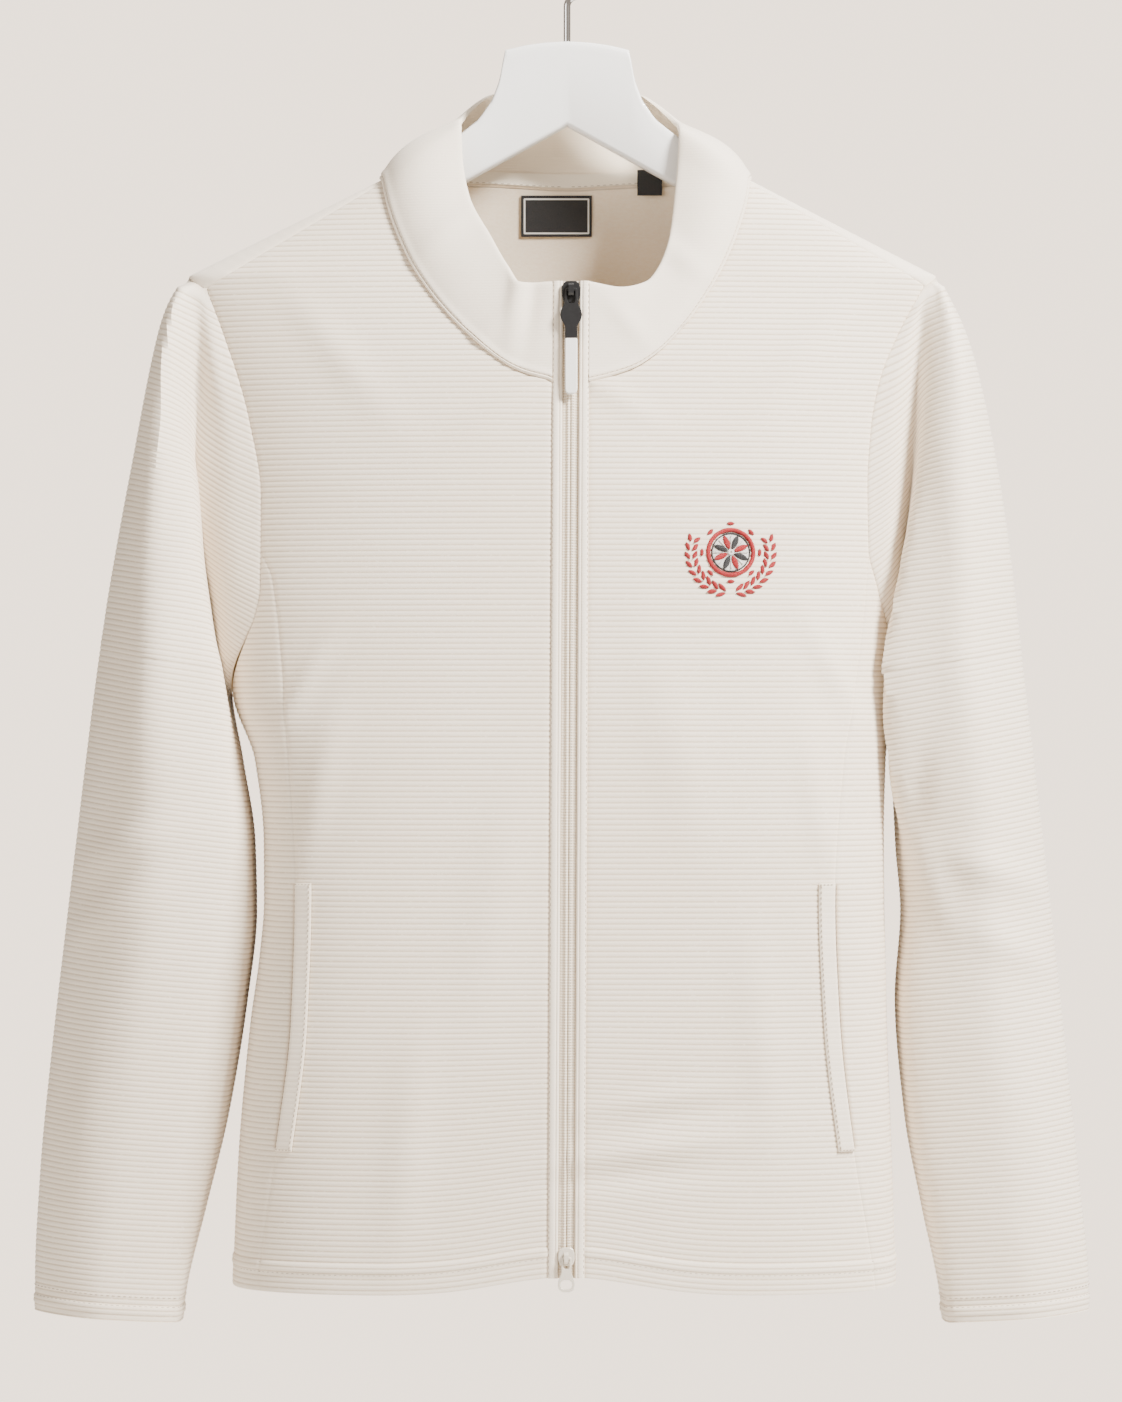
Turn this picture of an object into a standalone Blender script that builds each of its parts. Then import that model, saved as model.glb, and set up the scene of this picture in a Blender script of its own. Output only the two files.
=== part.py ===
"""A women's golf jacket hanging on a painted wooden hanger with a wire hook.

The frame is in metres with +Z up. The origin is the inner top of the hook, where a rail carries
it. The front of the jacket faces -Y, and +X is to the right of someone who looks at the front.
A "drop" is a distance below the origin, and "outward" is a distance from the middle of the
jacket towards one side. A side is -1 for the left of the picture and +1 for the right.

Every cloth piece is a wall round a middle surface. The body is an upright tube of rounded oval
sections. Its panels are cut from that tube along the seams, so neighbours share their seam's
points and its normals, and each edge stands back from its seam by SEAM_INSET.
"""

import math

import bmesh
import bpy
import numpy as np
from mathutils import Matrix, Vector

# ---------------------------------------------------------------- driving sizes

NECK_DROP = 0.1465  # neck points, where collar and shoulders meet
TIP_DROP = 0.2005  # where the armhole seams cross the shoulder ridges
CF_NECK_DROP = 0.2672  # neck seam at the zip
COLLAR_TOP_DROP = 0.2090  # top of the collar at the zip
APEX_DROP = 0.3620  # where a princess seam leaves the armhole
UNDERARM_DROP = 0.4420
HEM_DROP = 0.7840
CUFF_DROP = 0.8060

NECK_HALF = {-1: 0.1067, 1: 0.1050}
SHOULDER_HALF = {-1: 0.2187, 1: 0.2134}
SHOULDER_DROP = 0.2025  # the shoulder line, run on to its outer end

KNIT = 0.0020  # thickness of the double knit
COLLAR_WALL = 0.0032  # the collar is folded double
SEAM_INSET = 0.00020
SLEEVE_INSET = 0.00040  # the sleeves fold back on the body behind the arms
CLEAR = 0.00035  # between pieces that lie on each other

HEM_RISE = 0.0110  # the zip holds the hem up by this much
HEM_RISE_REACH = 0.0550
HEM_RISE_START = 0.6000
HEM_LEVELS = (0.0180, 0.0160, 0.0125, 0.0110, 0.0040, 0.0)  # heights above the hem's edge
HEM_RELIEF = (0.0, 0.0009, 0.0009, 0.0002, 0.0003, 0.0)  # how far each stands proud
CUFF_LEVELS = (0.0150, 0.0135, 0.0100, 0.0085, 0.0030, 0.0)
CUFF_RELIEF = (0.0, 0.0008, 0.0008, 0.0002, 0.0003, 0.0)

ZIP_TOP_X = 0.0023  # the zip leans a little: its middle at the collar's top
ZIP_FOOT_X = -0.0006  # and at the hem
ZIP_HALF = 0.0046  # half the visible width of tape and coil
BAND_WIDTH = 0.0058
BAND_WALL = 0.0030
TAPE_WALL = 0.0014

WELT_TOP_DROP = 0.5510
WELT_FOOT_DROP = 0.7035
WELT_WIDTH = 0.0090
WELT_WALL = 0.0015

TAPE_LEVELS = (0.015, 0.075, 0.16)  # the neck tape's rows, as shares of the collar's height
TAPE_START = 0.0095  # and how far behind the hanger's middle it starts
NECK_TAPE_WALL = 0.0008
LABEL_WALL = 0.0007
LABEL_X = (-0.0269, 0.0146)
LABEL_DROPS = (0.1520, 0.1754)
SIZE_LABEL_X = (0.0410, 0.0555)
SIZE_LABEL_DROPS = (0.1380, 0.1530)
SIZE_LABEL_Y = 0.0167

TOP_SLIDER_DROP = 0.2155
BOTTOM_SLIDER_DROP = 0.7610

HANGER_HALF = 0.0065  # half its thickness
HANGER_ROUNDING = 0.0025
HANGER_TIP = {-1: 0.2050, 1: 0.2005}
WIRE_RADIUS = 0.0020
HOOK_RADIUS = 0.0210  # of the wire's middle line
HOOK_BEND_RADIUS = 0.0060
HOOK_BEND_ANGLE = math.radians(75)
HOOK_END_ANGLE = math.radians(205)
HOOK_FOOT = -0.0657


def table(columns, *rows):
    """A short table as a dictionary: each column's name with its values, top to bottom."""
    return dict(zip(columns.split(), np.array(rows, float).T))


# The body's rounded ovals: half widths of the two sides, depths before and behind the hanger,
# and how square the oval is (2 is an ellipse).
BODY = table(
    "drop   left   right  front  back   square",
    (0.1465, 0.1067, 0.1050, 0.0190, 0.0220, 2.0),
    (0.1800, 0.1700, 0.1700, 0.0270, 0.0310, 2.0),
    (0.2025, 0.2187, 0.2134, 0.0330, 0.0370, 2.0),
    (0.2320, 0.2110, 0.2060, 0.0430, 0.0440, 2.0),
    (0.2670, 0.2050, 0.1990, 0.0530, 0.0500, 2.0),
    (0.3310, 0.1970, 0.1930, 0.0635, 0.0570, 2.1),
    (0.3840, 0.1945, 0.1905, 0.0690, 0.0605, 2.3),
    (0.4420, 0.1930, 0.1890, 0.0730, 0.0630, 2.6),
    (0.4820, 0.1795, 0.1832, 0.0750, 0.0640, 3.2),
    (0.5300, 0.1742, 0.1820, 0.0760, 0.0645, 3.5),
    (0.5630, 0.1740, 0.1822, 0.0760, 0.0645, 3.6),
    (0.5940, 0.1765, 0.1830, 0.0760, 0.0645, 3.6),
    (0.6340, 0.1820, 0.1838, 0.0755, 0.0640, 3.5),
    (0.7100, 0.1890, 0.1868, 0.0740, 0.0630, 3.2),
    (0.7840, 0.1925, 0.1895, 0.0720, 0.0620, 3.0),
)

# Seams on the front and back, as a drop and its outward distance.
NECKLINE = {
    -1: table("drop out", (0.1477, 0.1060), (0.1660, 0.1020), (0.1950, 0.0903),
              (0.2218, 0.0726), (0.2452, 0.0496), (0.2610, 0.0267), (0.2672, 0.0060)),
    1: table("drop out", (0.1477, 0.1043), (0.1590, 0.1028), (0.1800, 0.0967), (0.2010, 0.0877),
             (0.2206, 0.0760), (0.2362, 0.0645), (0.2571, 0.0415), (0.2656, 0.0188),
             (0.2672, 0.0100)),
}
BACK_NECK_DIP = 0.0035
FORWARD_SEAM_END = {-1: (0.2098, 0.2080), 1: (0.2080, 0.2062)}  # drop and outward at the armhole
FORWARD_SEAM_START = 0.0012  # its drop below the neck point
ARMHOLE_FRONT = {
    -1: table("drop out", (0.2098, 0.2080), (0.2330, 0.1990), (0.2850, 0.1825), (0.3310, 0.1750),
              (0.3620, 0.1750), (0.3840, 0.1752), (0.4000, 0.1785), (0.4130, 0.1840),
              (0.4300, 0.1905), (0.4420, 0.1930)),
    1: table("drop out", (0.2080, 0.2062), (0.2388, 0.1895), (0.2640, 0.1795), (0.2890, 0.1745),
             (0.3260, 0.1720), (0.3620, 0.1725), (0.3810, 0.1770), (0.4040, 0.1830),
             (0.4250, 0.1872), (0.4420, 0.1890)),
}
ARMHOLE_BACK = {
    -1: table("drop out", (0.2005, 0.2144), (0.2150, 0.2080), (0.2330, 0.1985), (0.2850, 0.1815),
              (0.3310, 0.1740), (0.3620, 0.1725), (0.3840, 0.1740), (0.4130, 0.1830),
              (0.4300, 0.1900), (0.4420, 0.1930)),
    1: table("drop out", (0.2005, 0.2094), (0.2150, 0.2030), (0.2330, 0.1940), (0.2850, 0.1780),
             (0.3310, 0.1705), (0.3620, 0.1690), (0.3840, 0.1705), (0.4130, 0.1790),
             (0.4300, 0.1860), (0.4420, 0.1890)),
}
PRINCESS = {
    -1: table("drop out", (0.3620, 0.1750), (0.3780, 0.1680), (0.4470, 0.1605), (0.4820, 0.1580),
              (0.5510, 0.1535), (0.6300, 0.1560), (0.7030, 0.1650), (0.7610, 0.1735),
              (0.7840, 0.1760)),
    1: table("drop out", (0.3620, 0.1725), (0.4020, 0.1690), (0.4500, 0.1620), (0.4820, 0.1570),
             (0.5580, 0.1510), (0.6300, 0.1540), (0.7060, 0.1630), (0.7680, 0.1735),
             (0.7840, 0.1755)),
}
BACK_SEAM = {
    -1: table("drop out", (0.3620, 0.1725), (0.3780, 0.1655), (0.4420, 0.1560), (0.5600, 0.1480),
              (0.7000, 0.1560), (0.7840, 0.1640)),
    1: table("drop out", (0.3620, 0.1690), (0.3780, 0.1625), (0.4420, 0.1550), (0.5600, 0.1480),
             (0.7000, 0.1560), (0.7840, 0.1640)),
}

# The collar's upper edge, by its share of the way from the zip round to the middle of the back.
COLLAR_TOP = {
    -1: table("share out front drop", (0.00, 0.0081, 0.0460, 0.2090), (0.085, 0.0265, 0.0445, 0.2095),
              (0.14, 0.0340, 0.0400, 0.1990), (0.25, 0.0435, 0.0335, 0.1820),
              (0.40, 0.0560, 0.0225, 0.1580), (0.50, 0.0603, 0.0140, 0.1350),
              (0.555, 0.0612, 0.0100, 0.1170), (0.60, 0.0618, 0.0000, 0.1125),
              (0.645, 0.0605, -0.0100, 0.1085), (0.76, 0.0510, -0.0215, 0.0972),
              (0.84, 0.0420, -0.0285, 0.0920), (1.00, 0.0000, -0.0350, 0.0885)),
    1: table("share out front drop", (0.00, 0.0127, 0.0460, 0.2090), (0.07, 0.0300, 0.0445, 0.2120),
             (0.15, 0.0450, 0.0400, 0.2085), (0.21, 0.0540, 0.0340, 0.1960),
             (0.30, 0.0590, 0.0270, 0.1800), (0.42, 0.0625, 0.0180, 0.1520),
             (0.50, 0.0640, 0.0130, 0.1350), (0.555, 0.0647, 0.0100, 0.1185),
             (0.60, 0.0645, 0.0000, 0.1145), (0.645, 0.0620, -0.0100, 0.1100),
             (0.76, 0.0510, -0.0215, 0.0982), (0.84, 0.0420, -0.0285, 0.0925),
             (1.00, 0.0000, -0.0350, 0.0885)),
}
COLLAR_LEVELS = (0.0, 0.035, 0.075, 0.16, 0.35, 0.56, 0.77, 0.93, 1.0)  # shares of its height
COLLAR_RELIEF = (0.0, 0.0006, 0.0006, 0.0, 0.0, 0.0, 0.0, 0.0, -0.0008)
COLLAR_BULGE = table("share swell", (0.0, 0.0), (0.2, 0.0020), (0.5, 0.0065), (0.75, 0.0070),
                     (1.0, 0.0030))

# A sleeve's rows, from the armhole to the cuff. A row runs from the front of the armhole (below
# the underarm, from the sleeve's inner line) over a shallow valley, the tube's front edge, its
# front, its outer line and its back, to the heel behind the armhole. "seam" is the inner line's
# outward distance below the underarm, and "level" is the row's drop at its outer line.
SLEEVE_COLUMNS = "drop level seam valley_out valley_y edge_out edge_y front_y back_y heel_out heel_y"
SLEEVE = {
    -1: table(
        SLEEVE_COLUMNS,
        (0.2120, 0.2075, 0.1956, 0.2135, 0.0115, 0.2180, 0.0110, 0.0115, 0.0130, 0.2150, 0.0130),
        (0.2330, 0.2190, 0.1956, 0.2130, 0.0125, 0.2210, 0.0165, 0.0200, 0.0215, 0.2120, 0.0190),
        (0.2850, 0.2500, 0.1956, 0.2130, 0.0130, 0.2227, 0.0225, 0.0310, 0.0310, 0.2050, 0.0280),
        (0.3310, 0.2870, 0.1956, 0.2150, 0.0135, 0.2198, 0.0260, 0.0390, 0.0370, 0.2000, 0.0330),
        (0.3620, 0.3180, 0.1956, 0.2140, 0.0140, 0.2160, 0.0290, 0.0430, 0.0410, 0.1990, 0.0360),
        (0.3840, 0.3400, 0.1956, 0.2115, 0.0140, 0.2128, 0.0310, 0.0450, 0.0430, 0.1990, 0.0370),
        (0.4130, 0.3750, 0.1956, 0.2065, 0.0130, 0.2070, 0.0330, 0.0480, 0.0460, 0.2000, 0.0370),
        (0.4300, 0.4000, 0.1956, 0.2030, 0.0125, 0.2025, 0.0340, 0.0495, 0.0480, 0.2000, 0.0370),
        (0.4420, 0.4180, 0.1956, 0.1995, 0.0120, 0.1980, 0.0345, 0.0500, 0.0490, 0.1995, 0.0370),
        (0.4820, 0.4680, 0.1890, 0.1892, 0.0150, 0.1905, 0.0340, 0.0520, 0.0500, 0.1930, 0.0360),
        (0.5300, 0.5170, 0.1818, 0.1820, 0.0150, 0.1840, 0.0340, 0.0500, 0.0480, 0.1860, 0.0350),
        (0.5700, 0.5590, 0.1808, 0.1811, 0.0140, 0.1832, 0.0310, 0.0470, 0.0440, 0.1850, 0.0310),
        (0.6200, 0.6100, 0.1860, 0.1864, 0.0130, 0.1890, 0.0290, 0.0430, 0.0400, 0.1900, 0.0290),
        (0.6870, 0.6785, 0.1970, 0.1974, 0.0120, 0.2000, 0.0260, 0.0370, 0.0350, 0.2010, 0.0250),
        (0.7410, 0.7340, 0.2100, 0.2105, 0.0100, 0.2130, 0.0220, 0.0320, 0.0300, 0.2140, 0.0210),
        (0.7890, 0.7830, 0.2215, 0.2220, 0.0090, 0.2240, 0.0190, 0.0280, 0.0260, 0.2250, 0.0180),
        (0.8060, 0.8005, 0.2237, 0.2242, 0.0090, 0.2260, 0.0185, 0.0270, 0.0255, 0.2270, 0.0175),
    ),
    1: table(
        SLEEVE_COLUMNS,
        (0.2120, 0.2075, 0.1916, 0.2085, 0.0115, 0.2130, 0.0110, 0.0115, 0.0130, 0.2100, 0.0130),
        (0.2330, 0.2190, 0.1916, 0.2040, 0.0125, 0.2125, 0.0165, 0.0200, 0.0215, 0.2060, 0.0190),
        (0.2850, 0.2500, 0.1916, 0.2020, 0.0130, 0.2100, 0.0235, 0.0310, 0.0310, 0.1990, 0.0280),
        (0.3310, 0.2870, 0.1916, 0.2000, 0.0150, 0.2045, 0.0280, 0.0390, 0.0370, 0.1940, 0.0330),
        (0.3620, 0.3180, 0.1916, 0.1975, 0.0160, 0.1995, 0.0310, 0.0430, 0.0410, 0.1930, 0.0360),
        (0.3840, 0.3400, 0.1916, 0.1955, 0.0170, 0.1950, 0.0340, 0.0450, 0.0430, 0.1930, 0.0370),
        (0.4130, 0.3750, 0.1916, 0.1935, 0.0185, 0.1880, 0.0380, 0.0480, 0.0460, 0.1935, 0.0370),
        (0.4300, 0.4000, 0.1916, 0.1922, 0.0200, 0.1825, 0.0410, 0.0500, 0.0480, 0.1940, 0.0370),
        (0.4420, 0.4180, 0.1916, 0.1915, 0.0200, 0.1800, 0.0430, 0.0510, 0.0490, 0.1940, 0.0370),
        (0.4820, 0.4680, 0.1900, 0.1902, 0.0200, 0.1835, 0.0400, 0.0520, 0.0500, 0.1925, 0.0360),
        (0.5300, 0.5170, 0.1915, 0.1918, 0.0150, 0.1925, 0.0330, 0.0500, 0.0480, 0.1955, 0.0350),
        (0.5700, 0.5590, 0.1945, 0.1948, 0.0130, 0.1968, 0.0300, 0.0470, 0.0440, 0.1980, 0.0310),
        (0.6200, 0.6100, 0.1912, 0.1916, 0.0130, 0.1935, 0.0290, 0.0430, 0.0400, 0.1950, 0.0290),
        (0.6870, 0.6785, 0.1965, 0.1970, 0.0120, 0.1990, 0.0260, 0.0370, 0.0350, 0.2005, 0.0250),
        (0.7410, 0.7340, 0.2065, 0.2070, 0.0100, 0.2095, 0.0220, 0.0320, 0.0300, 0.2105, 0.0210),
        (0.7890, 0.7830, 0.2165, 0.2170, 0.0090, 0.2190, 0.0190, 0.0280, 0.0260, 0.2200, 0.0180),
        (0.8060, 0.8005, 0.2185, 0.2190, 0.0090, 0.2210, 0.0185, 0.0270, 0.0255, 0.2220, 0.0175),
    ),
}
# A sleeve's outer line, as seen from the front.
SLEEVE_OUTER = {
    -1: table("drop out", (0.2000, 0.2175), (0.2060, 0.2235), (0.2230, 0.2326), (0.2420, 0.2380),
              (0.3120, 0.2517), (0.3730, 0.2630), (0.4250, 0.2710), (0.4820, 0.2784),
              (0.5700, 0.2890), (0.6560, 0.2990), (0.7200, 0.3050), (0.7840, 0.3080),
              (0.8060, 0.3080)),
    1: table("drop out", (0.2000, 0.2110), (0.2060, 0.2165), (0.2116, 0.2195), (0.2310, 0.2290),
             (0.2540, 0.2366), (0.3000, 0.2465), (0.3635, 0.2564), (0.4310, 0.2640),
             (0.4820, 0.2700), (0.5776, 0.2810), (0.6675, 0.2906), (0.7390, 0.2980),
             (0.7860, 0.3020), (0.8060, 0.3020)),
}
# How much of the fall from a row's outer line to its seam each of its nine points has made,
# beside the armhole, where the rows run down into the seam.
SLEEVE_FALL = (0.0, 0.18, 0.55, 0.75, 0.88, 1.0, 0.85, 0.45, 0.0)
SLEEVE_CROWN = 0.0040  # the roll of cloth beside the front of the armhole
SLEEVE_STEPS = (1, 2, 2, 2, 3, 3, 2, 2)  # mesh columns between a row's nine points

# Sliders in mm, about the middle of the plate's back: the plate's right half from top to bottom,
# its thickness, then the arch over it, the hole under the arch and the pull's pivot (y, z).
TOP_SLIDER = {
    "plate": ((2.6, 6.3), (4.6, 4.8), (5.4, 2.2), (5.3, -2.0), (4.5, -5.0), (3.2, -6.4)),
    "thick": 2.2, "arch_half": 1.5, "arch_top": 4.5, "arch_foot": -2.5, "arch_reach": 5.8,
    "hole_top": 2.5, "hole_foot": -0.5, "pivot": (-3.4, 1.0),
}
BOTTOM_SLIDER = {
    "plate": ((2.2, 5.2), (3.8, 4.2), (4.6, 2.0), (4.6, -1.6), (3.8, -4.2), (2.6, -5.2)),
    "thick": 2.0, "arch_half": 1.2, "arch_top": 2.6, "arch_foot": -3.4, "arch_reach": 5.4,
    "hole_top": 0.8, "hole_foot": -1.8, "pivot": (-3.1, -0.5),
}

# The hanger's upper edge beside its neck, and its lower edge.
HANGER_TOP = table("out drop", (0.0, 0.0660), (0.012, 0.0666), (0.024, 0.0682), (0.036, 0.0710),
                   (0.0373, 0.0780), (0.0390, 0.0880), (0.0435, 0.1000), (0.0510, 0.1110),
                   (0.0610, 0.1190), (0.1080, 0.1500))
HANGER_LOW = table("out drop", (0.0, 0.1147), (0.060, 0.1480), (0.205, 0.2160), (0.209, 0.2170))
HANGER_STATIONS = (0.012, 0.024, 0.033, 0.036, 0.0373, 0.0390, 0.0435, 0.0510, 0.0610, 0.080,
                   0.1000, 0.1080, 0.122, 0.140, 0.160, 0.180)

FRONT_STEPS = 6
SIDE_STEPS = 3
BACK_STEPS = 8
STRIP_STEPS = 2

ROWS = np.concatenate((
    np.linspace(NECK_DROP, TIP_DROP, 6),
    np.linspace(TIP_DROP, CF_NECK_DROP, 6)[1:],
    np.linspace(CF_NECK_DROP, APEX_DROP, 6)[1:],
    np.linspace(APEX_DROP, UNDERARM_DROP, 7)[1:],
    np.linspace(UNDERARM_DROP, HEM_DROP - HEM_LEVELS[0], 11)[1:],
    HEM_DROP - np.array(HEM_LEVELS[1:]),
))
SLEEVE_ROWS = np.concatenate((
    ROWS[(ROWS > TIP_DROP - 1e-6) & (ROWS < UNDERARM_DROP + 1e-6)],
    np.linspace(UNDERARM_DROP, CUFF_DROP - CUFF_LEVELS[0], 14)[1:],
    CUFF_DROP - np.array(CUFF_LEVELS[1:]),
))

COLOURS = {  # base colour, roughness, metallic
    "knit": ((0.80, 0.72, 0.61), 0.85, 0.0),
    "smooth_knit": ((0.82, 0.74, 0.63), 0.80, 0.0),
    "inner": ((0.78, 0.64, 0.47), 0.90, 0.0),
    "coil": ((0.70, 0.60, 0.46), 0.55, 0.0),
    "black_metal": ((0.02, 0.02, 0.02), 0.35, 0.6),
    "pale_plastic": ((0.86, 0.83, 0.78), 0.50, 0.0),
    "cream_metal": ((0.74, 0.66, 0.54), 0.35, 0.5),
    "black_label": ((0.015, 0.015, 0.017), 0.75, 0.0),
    "white_paint": ((0.86, 0.85, 0.82), 0.45, 0.0),
    "chrome": ((0.75, 0.75, 0.76), 0.15, 1.0),
}


# ---------------------------------------------------------------- curves and surfaces

def smooth(xs, ys, x):
    """Value at x of the cubic through (xs, ys) that never overshoots, level past both ends."""
    xs, ys = np.asarray(xs, float), np.asarray(ys, float)
    x = np.clip(np.asarray(x, float), xs[0], xs[-1])
    step = np.diff(xs)
    slope = np.diff(ys) / step
    total = slope[:-1] + slope[1:]
    agree = slope[:-1] * slope[1:] > 0
    middle = np.where(agree, 2 * slope[:-1] * slope[1:] / np.where(agree, total, 1.0), 0.0)
    tangent = np.concatenate(([slope[0]], middle, [slope[-1]]))
    k = np.clip(np.searchsorted(xs, x, side="right") - 1, 0, len(step) - 1)
    t = (x - xs[k]) / step[k]
    start, end = ys[k], ys[k + 1]
    lead, tail = tangent[k] * step[k], tangent[k + 1] * step[k]
    return (start * (1 + 2 * t) * (1 - t) ** 2 + lead * t * (1 - t) ** 2
            + end * t * t * (3 - 2 * t) + tail * t * t * (t - 1))


def ease(t):
    """From 0 to 1 with level ends as t runs from 0 to 1."""
    t = np.clip(t, 0.0, 1.0)
    return t * t * (3 - 2 * t)


def unit(vectors):
    """The same directions with length 1."""
    return vectors / np.maximum(np.linalg.norm(vectors, axis=-1, keepdims=True), 1e-12)


def half_width(side, drop):
    """Outward reach of the body: the straight shoulder line, then the oval sections."""
    run = (drop - NECK_DROP) / (SHOULDER_DROP - NECK_DROP)
    shoulder = NECK_HALF[side] + (SHOULDER_HALF[side] - NECK_HALF[side]) * run
    below = smooth(BODY["drop"], BODY["left" if side < 0 else "right"], drop)
    return np.where(drop < SHOULDER_DROP, shoulder, below)


def depth(angle, drop):
    """Depth of the oval before the hanger (angle under a quarter turn) or behind it."""
    front = smooth(BODY["drop"], BODY["front"], drop)
    back = smooth(BODY["drop"], BODY["back"], drop)
    return np.where(angle < math.pi / 2, front, back)


def torso(side, angle, drop):
    """Point of the body's middle surface at an angle from the middle of the front (0) by the
    side (a quarter turn) to the middle of the back (a half turn)."""
    angle, drop = np.broadcast_arrays(np.asarray(angle, float), np.asarray(drop, float))
    square = smooth(BODY["drop"], BODY["square"], drop)
    sine, cosine = np.sin(angle), np.cos(angle)
    reach = ((np.abs(sine) / half_width(side, drop)) ** square
             + (np.abs(cosine) / depth(angle, drop)) ** square) ** (-1 / square)
    out, forward = reach * sine, reach * cosine
    near_zip = np.exp(-((out / HEM_RISE_REACH) ** 2)) * (angle < math.pi / 2)
    rise = HEM_RISE * near_zip * ease((drop - HEM_RISE_START) / (HEM_DROP - HEM_RISE_START))
    return np.stack((side * out, -forward, rise - drop), axis=-1)


def torso_normal(side, angle, drop):
    """Outward normal of the body's surface, from small steps along both of its directions."""
    step_angle, step_drop = 1e-3, 2e-4
    along = torso(side, angle + step_angle, drop) - torso(side, angle - step_angle, drop)
    down = torso(side, angle, drop + step_drop) - torso(side, angle, drop - step_drop)
    return unit(side * np.cross(down, along))


def oval_angle(side, out, drop, behind=False):
    """The angle at which the body's oval has this outward distance, before or behind."""
    square = smooth(BODY["drop"], BODY["square"], drop)
    share = np.clip(np.abs(out) / half_width(side, drop), 0.0, 1.0)
    reach = smooth(BODY["drop"], BODY["back" if behind else "front"], drop)
    forward = reach * (1 - share ** square) ** (1 / square)
    angle = np.arctan2(out, forward)
    return math.pi - angle if behind else angle


# ---------------------------------------------------------------- seams of the body
# Each seam gives the angle and the drop of its point on the row that starts at drop v.

def zip_middle(drop):
    """The zip's middle line, which leans slightly from the collar's top to the hem."""
    share = (drop - COLLAR_TOP_DROP) / (HEM_DROP - COLLAR_TOP_DROP)
    return ZIP_TOP_X + (ZIP_FOOT_X - ZIP_TOP_X) * share


def zip_line(side, drop, off):
    """Outward distance of a line that runs beside the zip's middle at a constant distance."""
    return side * zip_middle(drop) + off


def row_fall(side, v):
    """How far a row's front end lies below its drop v: it follows the forward shoulder seam."""
    start, end = FORWARD_SEAM_START, FORWARD_SEAM_END[side][0] - TIP_DROP
    shoulder = start + (end - start) * (v - NECK_DROP) / (TIP_DROP - NECK_DROP)
    return np.where(v < TIP_DROP, shoulder, end * (1 - ease((v - TIP_DROP) / 0.05)))


def front_inner(side, v):
    """The neckline, and below it the outer edge of the zip's band."""
    drop = v + FORWARD_SEAM_START * (1 - ease((v - NECK_DROP) / 0.02))
    neck = smooth(NECKLINE[side]["drop"], NECKLINE[side]["out"], drop)
    band = zip_line(side, drop, ZIP_HALF + BAND_WIDTH)
    out = np.where(v < CF_NECK_DROP - 1e-6, np.maximum(neck, band), band)
    return oval_angle(side, out, drop), drop


def front_outer(side, v):
    """The forward shoulder seam, the front of the armhole, then the princess seam."""
    drop = v + row_fall(side, v)
    end_drop, end_out = FORWARD_SEAM_END[side]
    start_out = NECKLINE[side]["out"][0]
    start_drop = NECK_DROP + FORWARD_SEAM_START
    shoulder = start_out + (end_out - start_out) * (drop - start_drop) / (end_drop - start_drop)
    armhole = smooth(ARMHOLE_FRONT[side]["drop"], ARMHOLE_FRONT[side]["out"], drop)
    princess = smooth(PRINCESS[side]["drop"], PRINCESS[side]["out"], drop)
    out = np.where(v <= TIP_DROP, shoulder, np.where(v <= APEX_DROP, armhole, princess))
    return oval_angle(side, out, drop), drop


def armhole_front(side, v):
    """The front of the armhole from the shoulder to the underarm."""
    drop = v + row_fall(side, v)
    out = smooth(ARMHOLE_FRONT[side]["drop"], ARMHOLE_FRONT[side]["out"], drop)
    angle = oval_angle(side, out, drop)
    return np.where(v >= UNDERARM_DROP - 1e-9, math.pi / 2, angle), drop


def armhole_back(side, v):
    """The back of the armhole from the shoulder ridge to the underarm."""
    out = smooth(ARMHOLE_BACK[side]["drop"], ARMHOLE_BACK[side]["out"], v)
    angle = oval_angle(side, out, v, behind=True)
    at_ridge = (v <= TIP_DROP + 1e-9) | (v >= UNDERARM_DROP - 1e-9)
    return np.where(at_ridge, math.pi / 2, angle), v


def back_outer(side, v):
    """The shoulder ridge, the back of the armhole, then the seam behind the side panel."""
    out = smooth(BACK_SEAM[side]["drop"], BACK_SEAM[side]["out"], v)
    below = oval_angle(side, out, v, behind=True)
    return np.where(v <= APEX_DROP, armhole_back(side, v)[0], below), v


# ---------------------------------------------------------------- cloth solids

def block(points, normals=None, relief=0.0):
    """A grid of middle points, with its normals where they are known (else worked out from its
    faces) and how far its outside stands proud."""
    if normals is None:
        normals = np.full(points.shape, np.nan)
    guide = np.where(np.isnan(normals), points - points.mean(axis=(0, 1)), normals)
    faces = np.cross(points[1:, :-1] - points[:-1, :-1], points[:-1, 1:] - points[:-1, :-1])
    relief = np.broadcast_to(relief, points.shape[:2])
    if (faces * guide[:-1, :-1]).sum() < 0:
        points, normals, relief = points[:, ::-1], normals[:, ::-1], relief[:, ::-1]
    return points, normals, relief


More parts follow.
